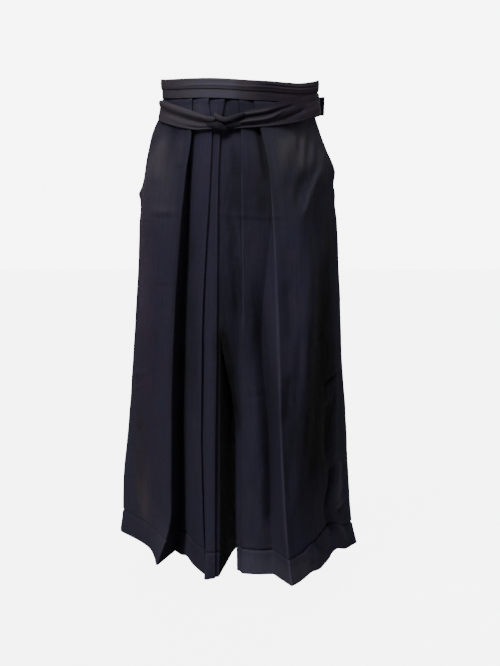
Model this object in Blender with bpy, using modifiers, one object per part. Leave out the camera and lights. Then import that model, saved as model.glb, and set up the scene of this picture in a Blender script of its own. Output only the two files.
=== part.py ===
# Hakama trousers in their worn form: divided legs, five pressed front pleats, two back pleats,
# the front band with its tie wound round the waist, the back board and its ties knotted in front.
# Metres, +Z up. The front faces -Y and the wearer's left is +X. The origin is the middle of the
# waist opening, level with the lower edge of the front band, where the wearer holds the garment.
# Tables are in millimetres, a row for each seam, fold or tie station.

import math

import bpy
import numpy as np
from mathutils import Matrix

GARMENT = "Hakama_Trousers"
MM = 0.001

WALL = 1.4                  # cloth, with its turned edges
BAND_WALL = 2.0             # the band is folded double
BOARD_WALL = 4.0            # stiffened back board
SEAM_TRIM = 0.16            # each piece stops this far short of a shared seam line
INNER_TRIM = 0.45           # the same at the centre seams, whose walls meet at a slight angle
FOLD_RADIUS = 1.25          # middle of the cloth round a pressed fold
WAIST_HALF_WIDTH = 150.0    # outermost pleat layer at the band
WAIST_HALF_DEPTH = 112.0

PANEL_TOP = 22.0            # pleat tops, inside the band
BACK_TOP = -12.4            # back panels hang from the lower edge of the board
BAND_LOW, BAND_HIGH = 0.0, 32.0
WRAP_LOW, WRAP_HIGH = 17.0, 35.5
BOARD_LOW, BOARD_HIGH = -12.0, 62.0
BOARD_HALF_ANGLE_LOW, BOARD_HALF_ANGLE_HIGH = 45.0, 32.0

BAND_ROOM = 1.01            # the band holds the pleats to its own oval, this much over their folds
BAND_OUT = 3.4              # middle of each layer, outside the outermost pleat layer
WRAP_OUT = 5.8
BOARD_OUT = 9.6
FOLD_TURN_STEPS = 3
PLY_STEPS = 1
GUSSET_INSET = 0.6          # keeps the gusset's walls off the panels' turned corners
GUSSET_STEPS = 8
TOP_ROW_GAP = 5.0           # least drop from a top edge to the next row

# Heights of the named levels at the right side seam, the centre and the left side seam.
LEVELS = {
    "band": (-9.0, -9.0, -9.0),
    "tie": (-60.0, -60.0, -60.0),
    "slit": (-157.0, -145.0, -126.0),
    "crotch": (-440.0, -440.0, -440.0),
    "knee": (-620.0, -620.0, -620.0),
    "shin": (-780.0, -780.0, -780.0),
    "hem": (-888.0, -881.0, -884.0),
}
ROW_STEPS = (3, 3, 6, 4, 3, 3)      # rows between one level and the next
RIGHT, CENTRE, LEFT = 0, 1, 2
SLIT_LEVEL = list(LEVELS).index("slit")
CROTCH_LEVEL = list(LEVELS).index("crotch")

# Seams shared by two pieces. Columns: across and forward (-Y is the front) at each level.
#                    band  tie   slit  crotch knee  shin  hem
SIDE_RIGHT = dict(x=(-145, -177, -207, -230, -247, -266, -272),
                  y=(-30, -10, 20, 42, 52, 63, 72))
SIDE_LEFT = dict(x=(141, 161, 184.5, 200, 210, 218, 230),
                 y=(-38, -6, 28, 40, 50, 57, 64))
FRONT_INNER_RIGHT = dict(x=(-4, -9, -12, -9, -6.6, -6, -5),
                         y=(-105.5, -118.5, -130, -155, -170, -181, -189))
FRONT_INNER_LEFT = dict(x=(-4, -9, -12, -9, 15.5, 17.3, 21),
                        y=(-105.5, -118.5, -130, -155, -134, -140, -145))
BACK_INNER_RIGHT = dict(x=(0, 0, 0, 0, -10, -12, -13),
                        y=(115, 119, 124, 132, 142, 148, 152))
BACK_INNER_LEFT = dict(x=(0, 0, 0, 0, 22, 25, 28),
                       y=(115, 119, 124, 132, 142, 148, 152))

# Lines down each panel, in order from the side seam to the centre.
# kind: "soft" is a rounded station, "fold" a pressed fold.
FRONT_RIGHT = [
    dict(name="thigh", kind="soft",
         x=(-110, -131, -162, -178, -184, -187, -177),
         y=(-75, -74, -70, -52, -46, -40, -33)),
    dict(name="pleat 1", kind="fold",
         x=(-72, -72, -90, -107, -110, -111, -136),
         y=(-98.4, -112, -120, -130, -134, -136, -134)),
    dict(name="under 1", kind="fold",
         x=(-86, -87, -94, -104, -105, -106, -123),
         y=(-84, -96, -99, -106, -104, -98, -53)),
    dict(name="shelf 1", kind="soft",
         x=(-56, -50, -60, -74, -75, -75, -78),
         y=(-101, -113, -123, -128, -130, -128, -110)),
    dict(name="pleat 2", kind="fold",
         x=(-38, -30, -32, -45, -44.5, -40, -34),
         y=(-108.4, -122, -133, -154, -165, -172, -177)),
    dict(name="under 2", kind="tucked",
         tuck=(13, 12, 12, 10, 9, 7, 5), drop=(4.4, 4.4, 4.6, 4.8, 5, 6, 7.5)),
    dict(name="strip", kind="soft",
         x=(-22, -22, -24, -30, -30, -28, -25),
         y=(-107, -119.6, -131.2, -156, -169, -183, -207)),
    dict(name="pleat 3", kind="fold",
         x=(-8, -14, -16.5, -15, -14.5, -14, -11),
         y=(-111, -124, -136, -162, -177, -188, -197)),
    dict(name="under 3", kind="tucked",
         tuck=(7, 6, 6, 6, 6, 5, 5), drop=(4.4, 4.4, 4.4, 4.4, 4.4, 4.4, 4.4)),
]
FRONT_LEFT = [
    dict(name="hip", kind="soft",
         x=(109, 126, 149, 172, 182, 188, 192),
         y=(-77, -68, -58, -50, -44, -38, -32)),
    dict(name="outer", kind="soft",
         x=(84, 98, 124, 151, 156, 160, 166),
         y=(-93, -99, -104, -115, -124, -134, -140)),
    dict(name="pleat 5", kind="fold",
         x=(46, 60.5, 79, 100, 109, 120.5, 132),
         y=(-106.6, -118, -130, -158, -182, -203, -213)),
    dict(name="under 5", kind="fold",
         x=(62, 76, 86, 66, 82, 88, 91),
         y=(-96, -104, -112, -136, -146, -152, -157)),
    dict(name="shelf 5", kind="soft",
         x=(40, 46, 52, 50, 60, 64, 65),
         y=(-102.5, -115, -126, -147, -156, -161, -164)),
    dict(name="pleat 4", kind="fold",
         x=(20, 25, 27, 34, 39, 41, 42),
         y=(-111, -123.5, -134, -151, -158, -160, -163)),
    dict(name="under 4", kind="fold",
         x=(30.2, 35.3, 36.9, 25, 28, 30, 32),
         y=(-101.5, -114, -125, -146, -143, -147, -151)),
]
BACK_RIGHT = [
    dict(name="quarter", kind="soft",
         x=(-80, -104, -148, -168, -182, -192, -198),
         y=(107, 112, 104, 116, 128, 136, 142)),
    dict(name="back pleat", kind="fold",
         x=(-40, -42, -46, -52, -56, -60, -64),
         y=(118, 125, 131, 140, 148, 154, 159)),
    dict(name="back under", kind="tucked",
         tuck=(18, 18, 18, 16, 14, 10, 8), drop=(4.4, 4.4, 5, 6, 7, 8, 9)),
]
BACK_LEFT = [
    dict(name="quarter", kind="soft",
         x=(80, 100, 130, 146, 158, 166, 172),
         y=(107, 112, 106, 116, 126, 134, 140)),
    dict(name="back pleat", kind="fold",
         x=(40, 42, 46, 52, 60, 66, 72),
         y=(118, 125, 131, 140, 148, 154, 159)),
    dict(name="back under", kind="tucked",
         tuck=(18, 18, 18, 16, 14, 10, 8), drop=(4.4, 4.4, 5, 6, 7, 8, 9)),
]
BACK_SIDE_TOP = dict(right=((-112, -146), (88, 62)), left=((112, 140), (88, 58)))

# Ties: angle from the front centre toward the wearer's left, upper and lower edge, and how far
# the two edges stand outside the outermost pleat layer.
REAR_TIE_RIGHT = [
    dict(angle=-9.4, high=-40, low=-59, out_high=21, out_low=22),
    dict(angle=-19, high=-28, low=-58, out_high=13, out_low=17),
    dict(angle=-31, high=-16, low=-53, out_high=10, out_low=15.5),
    dict(angle=-46, high=-1, low=-44, out_high=8.6, out_low=15),
    dict(angle=-60, high=14, low=-34, out_high=8.2, out_low=14),
    dict(angle=-75, high=22, low=-23, out_high=8, out_low=12),
    dict(angle=-95, high=26, low=-18, out_high=8, out_low=10),
    dict(angle=-118, high=27, low=-13, out_high=9.4, out_low=10.4),
    dict(angle=-130, high=27, low=-11, out_high=12.8, out_low=12.8),
    dict(angle=-142, high=27, low=-11, out_high=12.8, out_low=12.8),
]
REAR_TIE_LEFT = [
    dict(angle=0.6, high=-40, low=-60, out_high=21, out_low=22),
    dict(angle=10, high=-31, low=-61, out_high=13, out_low=17),
    dict(angle=24, high=-21, low=-56, out_high=11, out_low=16.5),
    dict(angle=37, high=-9, low=-49, out_high=8.8, out_low=16),
    dict(angle=51, high=3, low=-41, out_high=8.4, out_low=15),
    dict(angle=66, high=12, low=-30, out_high=8, out_low=12.5),
    dict(angle=81, high=20, low=-17, out_high=8, out_low=10.5),
    dict(angle=100, high=25, low=-13, out_high=8, out_low=10),
    dict(angle=118, high=27, low=-12, out_high=9.4, out_low=10.4),
    dict(angle=130, high=27, low=-11, out_high=12.8, out_low=12.8),
    dict(angle=142, high=27, low=-11, out_high=12.8, out_low=12.8),
]
TUCKED_END = [
    dict(angle=139, high=25, low=-10, out_high=14.8, out_low=14.8),
    dict(angle=130, high=25, low=-10, out_high=15.0, out_low=15.0),
    dict(angle=121, high=25, low=-11, out_high=18, out_low=18),
    dict(angle=112, high=24, low=-13, out_high=25, out_low=24),
]
# The band and its wound tie dip in front of the wearer's left hip and rise over both sides.
BAND_SAG = [
    dict(angle=-180, rise=0), dict(angle=-90, rise=14), dict(angle=-50, rise=9.5),
    dict(angle=-10, rise=4.5), dict(angle=25, rise=-4.5), dict(angle=48, rise=-7),
    dict(angle=75, rise=0), dict(angle=100, rise=5), dict(angle=180, rise=0),
]

KNOT_ANGLE, KNOT_OUT, KNOT_MIDDLE = -4.5, 23.0, -51.0
KNOT_HALF = (15.0, 8.5, 13.5)       # along the waist, outward, up

DYED_COTTON = (0.012, 0.012, 0.017)
BOARD_CLOTH = (0.011, 0.011, 0.016)


def clearScene():
    for ob in list(bpy.data.objects):
        bpy.data.objects.remove(ob, do_unlink=True)


def clothMaterial(name, colour, roughness):
    material = bpy.data.materials.new(name)
    material.use_nodes = True
    shader = material.node_tree.nodes["Principled BSDF"]
    shader.inputs["Base Color"].default_value = (*colour, 1.0)
    shader.inputs["Roughness"].default_value = roughness
    shader.inputs["Metallic"].default_value = 0.0
    return material


def unit(v):
    return v / max(np.hypot(v[0], v[1]), 1e-9)


# Monotone cubic through the values: no overshoot between one station and the next.
def smooth(stations, values, at):
    s = np.asarray(stations, float)
    v = np.asarray(values, float)
    at = np.atleast_1d(np.asarray(at, float))
    if s[0] > s[-1]:
        s, v = s[::-1], v[::-1]
    step = np.diff(s)
    slope = np.diff(v) / step
    tangent = np.zeros(len(s))
    tangent[0], tangent[-1] = slope[0], slope[-1]
    same = slope[:-1] * slope[1:] > 0
    near, far = 2 * step[1:] + step[:-1], step[1:] + 2 * step[:-1]
    safe0 = np.where(same, slope[:-1], 1.0)
    safe1 = np.where(same, slope[1:], 1.0)
    tangent[1:-1] = np.where(same, (near + far) / (near / safe0 + far / safe1), 0.0)
    k = np.clip(np.searchsorted(s, at) - 1, 0, len(s) - 2)
    t = np.clip((at - s[k]) / step[k], 0.0, 1.0)
    a = (1 + 2 * t) * (1 - t) ** 2
    b = t * (1 - t) ** 2
    c = t * t * (3 - 2 * t)
    d = t * t * (t - 1)
    return a * v[k] + b * step[k] * tangent[k] + c * v[k + 1] + d * step[k] * tangent[k + 1]


def levelHeights(side):
    return np.array([level[side] for level in LEVELS.values()])


# Across and forward of one line at a height measured at the centre. A line may turn sharply at
# one level, such as the foot of the side slit.
def lineAt(line, height, turn_level=None):
    centre = levelHeights(CENTRE)
    cuts = slice(0, len(centre))
    if turn_level is not None:
        above = height > centre[turn_level]
        cuts = slice(0, turn_level + 1) if above else slice(turn_level, len(centre))
    return np.array([smooth(centre[cuts], line[axis][cuts], height)[0] for axis in ("x", "y")])


# A rounded line through two or more points, at even spacing.
def curvedRun(points, steps):
    points = np.array(points)
    chord = np.concatenate([[0.0], np.cumsum(np.hypot(*np.diff(points, axis=0).T))])
    tangent = np.gradient(points, chord, axis=0) if len(points) > 2 else None
    at = np.linspace(0, chord[-1], steps + 1)
    if tangent is None:
        return points[0] + (points[1] - points[0]) * (at / chord[-1])[:, None]
    k = np.clip(np.searchsorted(chord, at) - 1, 0, len(chord) - 2)
    length = (chord[k + 1] - chord[k])[:, None]
    t = ((at - chord[k]) / length[:, 0])[:, None]
    return ((1 + 2 * t) * (1 - t) ** 2 * points[k] + t * (1 - t) ** 2 * length * tangent[k]
            + t * t * (3 - 2 * t) * points[k + 1] + t * t * (t - 1) * length * tangent[k + 1])


# Where a straight ply from the point away meets a fold's round, spin +1 turning left.
def touchPoint(middle, away, spin):
    gap = middle - away
    length = np.hypot(*gap)
    lean = math.asin(min(FOLD_RADIUS / length, 1.0)) * -spin
    cos, sin = math.cos(lean), math.sin(lean)
    heading = unit(np.array([gap[0] * cos - gap[1] * sin, gap[0] * sin + gap[1] * cos]))
    return away + heading * math.sqrt(max(length ** 2 - FOLD_RADIUS ** 2, 0.0))


def foldArc(middle, arrive, leave, spin):
    first = math.atan2(*(arrive - middle)[::-1])
    last = math.atan2(*(leave - middle)[::-1])
    sweep = (last - first) * spin % (2 * math.pi)
    angles = first + spin * sweep * np.linspace(0, 1, FOLD_TURN_STEPS + 1)
    return middle + FOLD_RADIUS * np.stack([np.cos(angles), np.sin(angles)], axis=1)


# One level across a panel: smooth runs between folds that turn alternately.
def section(start, lines, end, height, first_spin, run_steps):
    stations = [dict(kind="end", at=start)]
    for line in lines:
        if line["kind"] == "tucked":
            edge, before = stations[-1]["at"], stations[-2]["at"]
            back = unit(before - edge)
            inward = first_spin * np.array([back[1], -back[0]])
            tuck = smooth(levelHeights(CENTRE), line["tuck"], height)[0]
            drop = smooth(levelHeights(CENTRE), line["drop"], height)[0]
            at = edge + back * tuck + inward * drop
            stations.append(dict(kind="fold", at=at))
        else:
            stations.append(dict(kind=line["kind"], at=lineAt(line, height)))
    stations.append(dict(kind="end", at=end))

    spin = first_spin
    for i, here in enumerate(stations):
        if here["kind"] == "fold":
            back = unit(here["at"] - stations[i - 1]["at"]) + unit(here["at"] - stations[i + 1]["at"])
            here["middle"] = here["at"] - unit(back) * FOLD_RADIUS
            here["spin"] = spin
            spin = -spin
    for i, here in enumerate(stations):
        if here["kind"] == "fold":
            before, after = stations[i - 1], stations[i + 1]
            come = (before["middle"] + here["middle"]) / 2 if before["kind"] == "fold" else before["at"]
            go = (after["middle"] + here["middle"]) / 2 if after["kind"] == "fold" else after["at"]
            here["arrive"] = touchPoint(here["middle"], come, here["spin"])
            here["leave"] = touchPoint(here["middle"], go, -here["spin"])

    path = []
    run = [stations[0]["at"]]
    runs_done = 0
    for i, here in enumerate(stations[1:], start=1):
        if here["kind"] == "soft":
            run.append(here["at"])
        elif here["kind"] == "end":
            run.append(here["at"])
            path.append(curvedRun(run, run_steps[runs_done]))
        else:
            run.append(here["arrive"])
            steps = PLY_STEPS if stations[i - 1]["kind"] == "fold" else run_steps[runs_done]
            path.append(curvedRun(run, steps)[:-1])
            if stations[i - 1]["kind"] != "fold":
                runs_done += 1
            path.append(foldArc(here["middle"], here["arrive"], here["leave"], here["spin"])[:-1])
            run = [here["leave"]]
    return np.concatenate(path)


# Heights at the centre, from the top edge down to the hem, denser where the cloth turns.
def rowHeights(top):
    centre = levelHeights(CENTRE)
    rows = [np.linspace(a, b, n + 1)[:-1] for a, b, n in zip(centre[:-1], centre[1:], ROW_STEPS)]
    rows = np.concatenate(rows + [[centre[-1]]])
    return np.concatenate([[top], rows[rows < top - TOP_ROW_GAP]])


# How far a wall stops short of a seam, so that two walls at an angle stay apart.
def seamStop(own, other):
    half_corner = math.acos(np.clip(own @ other, -1.0, 1.0)) / 2
    return (WALL / 2) / math.tan(half_corner) + SEAM_TRIM / math.sin(half_corner)


# Rows from the top edge to the hem, columns from the side seam to the centre.
def panelGrid(side, side_line, lines, beside, inner_line, top, first_spin, run_steps):
    centre = levelHeights(CENTRE)
    grid = []
    for height in rowHeights(top):
        here = min(height, centre[0])
        start = lineAt(side_line, here, SLIT_LEVEL)
        end = lineAt(inner_line, here, CROTCH_LEVEL)
        path = section(start, lines, end, here, first_spin, run_steps)
        if here == centre[0]:
            reach = np.hypot(path[:, 0] / WAIST_HALF_WIDTH, path[:, 1] / WAIST_HALF_DEPTH)
            path /= np.maximum(reach / BAND_ROOM, 1.0)[:, None]
        along = unit(path[1] - path[0])
        path[0] += along * seamStop(along, unit(lineAt(beside, here) - start))
        path[-1] += unit(path[-2] - path[-1]) * INNER_TRIM
        side_height = height
        if centre[1] > height:
            side_height = np.interp(height, centre[::-1], levelHeights(side)[::-1])
        share = np.linspace(0, 1, len(path))
        z = side_height + (height - side_height) * share
        grid.append(np.column_stack([path, z]))
    return np.array(grid)


# The inner leg wall, from the crotch to the hem, between the front and back panels.
def gussetGrid(front_line, back_line, wearer_side):
    inset = WALL / 2 + SEAM_TRIM
    grid = []
    rows = rowHeights(PANEL_TOP)
    for height in rows[rows <= levelHeights(CENTRE)[CROTCH_LEVEL]]:
        front = lineAt(front_line, height, CROTCH_LEVEL)
        back = lineAt(back_line, height, CROTCH_LEVEL)
        along = unit(back - front)
        front = front + along * (inset + GUSSET_INSET)
        back = back - along * (inset + GUSSET_INSET)
        shift = np.array([wearer_side * inset, 0.0])
        share = np.linspace(0, 1, GUSSET_STEPS + 1)[:, None]
        path = front + (back - front) * share + shift
        grid.append(np.column_stack([path, np.full(len(path), height)]))
    return np.array(grid)


def waistPoint(angle, out, height):
    turn = np.radians(angle)
    return np.stack([(WAIST_HALF_WIDTH + out) * np.sin(turn),
                     -(WAIST_HALF_DEPTH + out) * np.cos(turn),
                     height + 0 * turn], axis=-1)


def bandRise(angle):
    return smooth([row["angle"] for row in BAND_SAG], [row["rise"] for row in BAND_SAG], angle)


def hoopGrid(angles, out, low, high, steps_up):
    heights = np.linspace(low, high, steps_up + 1)[:, None]
    return waistPoint(angles[None, :] + 0 * heights, out, heights + bandRise(angles)[None, :])


# A flat tie that follows the waist, its edges at their own heights and standing out.
def tieGrid(rows, steps_along, steps_up):
    order = sorted(rows, key=lambda row: row["angle"])
    stations = np.array([row["angle"] for row in order], float)
    at = np.linspace(stations[0], stations[-1], steps_along + 1)
    column = {key: smooth(stations, [row[key] for row in order], at)
              for key in ("high", "low", "out_high", "out_low")}
    share = np.linspace(0, 1, steps_up + 1)[:, None]
    height = column["low"] + (column["high"] - column["low"]) * share
    out = column["out_low"] + (column["out_high"] - column["out_low"]) * share
    return waistPoint(at[None, :] + 0 * share, out, height)


# The stiff back board, narrower at its top.
def boardGrid(steps_across, steps_up):
    share = np.linspace(0, 1, steps_up + 1)[:, None]
    half = BOARD_HALF_ANGLE_LOW + (BOARD_HALF_ANGLE_HIGH - BOARD_HALF_ANGLE_LOW) * share
    across = np.linspace(-1, 1, steps_across + 1)[None, :]
    height = BOARD_LOW + (BOARD_HIGH - BOARD_LOW) * share
    return waistPoint(180 + half * across, BOARD_OUT, height + 0 * across)


# A grid of points made a wall of even thickness, half to each side.
def clothPiece(name, grid, wall, material, closed=False):
    rows, columns = grid.shape[:2]
    index = np.arange(rows * columns).reshape(rows, columns)
    if closed:
        index = np.column_stack([index, index[:, :1]])
    quads = np.stack([index[:-1, :-1], index[:-1, 1:], index[1:, 1:], index[1:, :-1]], axis=-1)
    mesh = bpy.data.meshes.new(name)
    mesh.from_pydata((grid.reshape(-1, 3) * MM).tolist(), [], quads.reshape(-1, 4).tolist())
    mesh.shade_smooth()
    mesh.materials.append(material)
    ob = bpy.data.objects.new(name, mesh)
    garment.objects.link(ob)
    solidify = ob.modifiers.new("Wall", "SOLIDIFY")
    solidify.thickness = wall * MM
    solidify.offset = 0.0
    solidify.use_even_offset = True
    solidify.use_rim = True
    return ob


# The rounded knot where the rear ties cross.
def knotPiece(name, material):
    bpy.ops.mesh.primitive_uv_sphere_add(segments=18, ring_count=11, radius=1.0)
    ob = bpy.context.object
    ob.name = name
    ob.data.name = name
    ob.data.transform(Matrix.Diagonal((*KNOT_HALF, 1000.0)) * MM)
    ob.data.shade_smooth()
    ob.data.materials.append(material)
    ob.location = waistPoint(np.array(KNOT_ANGLE), KNOT_OUT, KNOT_MIDDLE) * MM
    for collection in list(ob.users_collection):
        collection.objects.unlink(ob)
    garment.objects.link(ob)
    return ob


# A back panel's side line: its own top under the board, then the seam it shares below the slit.
def backSide(side_line, top):
    across, forward = top
    return dict(x=across + tuple(side_line["x"][SLIT_LEVEL:]),
                y=forward + tuple(side_line["y"][SLIT_LEVEL:]))


clearScene()
garment = bpy.data.collections.new(GARMENT)
bpy.context.scene.collection.children.link(garment)
cloth = clothMaterial("Dyed_Cotton", DYED_COTTON, 0.8)
board_cloth = clothMaterial("Board_Cloth", BOARD_CLOTH, 0.75)

clothPiece("Front_Right",
           panelGrid(RIGHT, SIDE_RIGHT, FRONT_RIGHT, BACK_RIGHT[0], FRONT_INNER_RIGHT,
                     PANEL_TOP, 1, (6, 4, 3, 2)), WALL, cloth)
clothPiece("Front_Left",
           panelGrid(LEFT, SIDE_LEFT, FRONT_LEFT, BACK_LEFT[0], FRONT_INNER_LEFT,
                     PANEL_TOP, -1, (9, 4, 4)), WALL, cloth)
clothPiece("Back_Right",
           panelGrid(RIGHT, backSide(SIDE_RIGHT, BACK_SIDE_TOP["right"]), BACK_RIGHT,
                     FRONT_RIGHT[0], BACK_INNER_RIGHT, BACK_TOP, -1, (6, 4)), WALL, cloth)
clothPiece("Back_Left",
           panelGrid(LEFT, backSide(SIDE_LEFT, BACK_SIDE_TOP["left"]), BACK_LEFT,
                     FRONT_LEFT[0], BACK_INNER_LEFT, BACK_TOP, 1, (6, 4)), WALL, cloth)
clothPiece("Gusset_Right", gussetGrid(FRONT_INNER_RIGHT, BACK_INNER_RIGHT, -1), WALL, cloth)
clothPiece("Gusset_Left", gussetGrid(FRONT_INNER_LEFT, BACK_INNER_LEFT, 1), WALL, cloth)

band_angles = np.linspace(-84, 80, 29)
wrap_angles = np.arange(-180, 180, 7.5)
clothPiece("Front_Band", hoopGrid(band_angles, BAND_OUT, BAND_LOW, BAND_HIGH, 2), BAND_WALL, cloth)
clothPiece("Front_Tie_Wrap", hoopGrid(wrap_angles, WRAP_OUT, WRAP_LOW, WRAP_HIGH, 2),
           WALL, cloth, closed=True)
clothPiece("Back_Board", boardGrid(16, 3), BOARD_WALL, board_cloth)
clothPiece("Rear_Tie_Right", tieGrid(REAR_TIE_RIGHT, 28, 3), WALL, cloth)
clothPiece("Rear_Tie_Left", tieGrid(REAR_TIE_LEFT, 28, 3), WALL, cloth)
clothPiece("Tucked_Tie_End", tieGrid(TUCKED_END, 8, 2), WALL, cloth)
knotPiece("Front_Knot", cloth)
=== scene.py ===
import math

import bpy
import numpy as np
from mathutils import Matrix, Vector


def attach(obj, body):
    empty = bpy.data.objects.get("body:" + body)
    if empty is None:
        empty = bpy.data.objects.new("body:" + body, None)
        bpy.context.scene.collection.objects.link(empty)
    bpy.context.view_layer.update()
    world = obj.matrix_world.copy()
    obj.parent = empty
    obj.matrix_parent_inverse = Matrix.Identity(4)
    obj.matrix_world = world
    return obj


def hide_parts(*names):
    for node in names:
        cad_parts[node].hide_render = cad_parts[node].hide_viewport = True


# Hakama trousers in their worn form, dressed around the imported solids. Tables are in millimetres.
# The front faces -Y, the wearer's left is +X, and the origin is the middle of the waist opening.
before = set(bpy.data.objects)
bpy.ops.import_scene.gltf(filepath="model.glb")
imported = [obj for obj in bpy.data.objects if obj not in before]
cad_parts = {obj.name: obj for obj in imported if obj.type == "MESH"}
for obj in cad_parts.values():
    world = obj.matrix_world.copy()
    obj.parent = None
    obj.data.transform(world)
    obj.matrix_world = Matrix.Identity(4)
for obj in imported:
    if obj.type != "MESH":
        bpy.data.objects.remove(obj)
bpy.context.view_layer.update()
mm = 0.001


# Shader maths: a socket that can be added, multiplied and so on.
class Value:
    def __init__(self, tree, socket):
        self.tree, self.socket = tree, socket

    def maths(self, operation, *parts):
        node = self.tree.nodes.new("ShaderNodeMath")
        node.operation = operation
        for k, part in enumerate(parts):
            if isinstance(part, Value):
                self.tree.links.new(part.socket, node.inputs[k])
            else:
                node.inputs[k].default_value = part
        return Value(self.tree, node.outputs[0])

    def __add__(self, other):
        return self.maths("ADD", self, other)

    def __sub__(self, other):
        return self.maths("SUBTRACT", self, other)

    def __mul__(self, other):
        return self.maths("MULTIPLY", self, other)

    def wave(self):
        return self.maths("SINE", self)

    def between(self, low, high):
        node = self.tree.nodes.new("ShaderNodeMapRange")
        node.interpolation_type = "SMOOTHSTEP"
        self.tree.links.new(self.socket, node.inputs["Value"])
        node.inputs["From Min"].default_value = low
        node.inputs["From Max"].default_value = high
        return Value(self.tree, node.outputs["Result"])


class Finish:
    # One material's nodes. put() makes any node from its type, settings and socket values or links.
    def __init__(self, owner):
        owner.use_nodes = True
        self.tree = owner.node_tree
        self.tree.nodes.clear()

    def put(self, kind, settings=None, **sockets):
        node = self.tree.nodes.new(kind)
        for key, value in (settings or {}).items():
            setattr(node, key, value)
        for key, value in sockets.items():
            socket = node.inputs[int(key[1:])] if key[0] == "_" else node.inputs[key.replace("_", " ")]
            if isinstance(value, Value):
                self.tree.links.new(value.socket, socket)
            else:
                socket.default_value = value
        return node

    def out(self, node, name=0):
        return Value(self.tree, node.outputs[name])

    def noise(self, place, scale, detail):
        return self.out(self.put("ShaderNodeTexNoise", Vector=place, Scale=scale, Detail=detail))

    def mix(self, factor, first, second, blend="MIX"):
        node = self.put("ShaderNodeMix", dict(data_type="RGBA", blend_type=blend),
                        _0=factor, _6=first, _7=second)
        return Value(self.tree, node.outputs[2])


# Cloth finishes: colours are linear, lengths in metres, "...PerMetre" is how fine a noise is, and
# "...Share" is how much of a paint it lays on.
# The paler colour is laid for random faded patches, slubs and painted light. The deep and darkest colours are
# laid for random darker patches, streaks and painted shade. The pale worn colour is laid for lint and for
# fold edges, which are part wear and part painted highlight.
clothFinish = dict(
    base=(0.0170, 0.0157, 0.0288), fadedAndLit=(0.0363, 0.0328, 0.0448), deep=(0.0090, 0.0082, 0.0142),
    red=(0.0203, 0.0156, 0.0280), blue=(0.0152, 0.0160, 0.0323), wornAndSheen=(0.044, 0.040, 0.062),
    paintedShadow=(0.0036, 0.0037, 0.0037), warm=(1.09, 0.90, 1.01), cool=(0.94, 1.0, 1.12), grey=(1.0, 1.05, 0.60),
    rough=0.80, specular=0.05, sheen=0.01, sheenRough=0.5, sheenTint=(0.85, 0.84, 1.0),
    yarn=0.00062, slub=0.012, streak=0.0045, twill=0.26, relief=0.00012, crumple=0.0009,
    patchesPerMetre=9.0, tintsPerMetre=26.0, crumplesPerMetre=42.0, lintPerMetre=420.0,
    fadedPatch=0.5, deepPatch=0.4, tintShare=0.7, slubShare=0.18, streakShare=0.16, lintShare=0.35,
    edgeShare=0.8,
)
tieFinish = dict(clothFinish, base=(0.0270, 0.0238, 0.0292), fadedAndLit=(0.0500, 0.0446, 0.0555),
                 deep=(0.0108, 0.0092, 0.0146), red=(0.0300, 0.0238, 0.0280), blue=(0.0245, 0.0245, 0.0325),
                 rough=0.72, yarn=0.00055, crumple=0.0003)
boardFinish = dict(clothFinish, base=(0.0190, 0.0175, 0.0245), rough=0.75, crumple=0.0001)
threadFinish = dict(base=(0.030, 0.029, 0.038), pale=1.6, rough=0.55, specular=0.4, flecksPerMetre=900.0)
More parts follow.
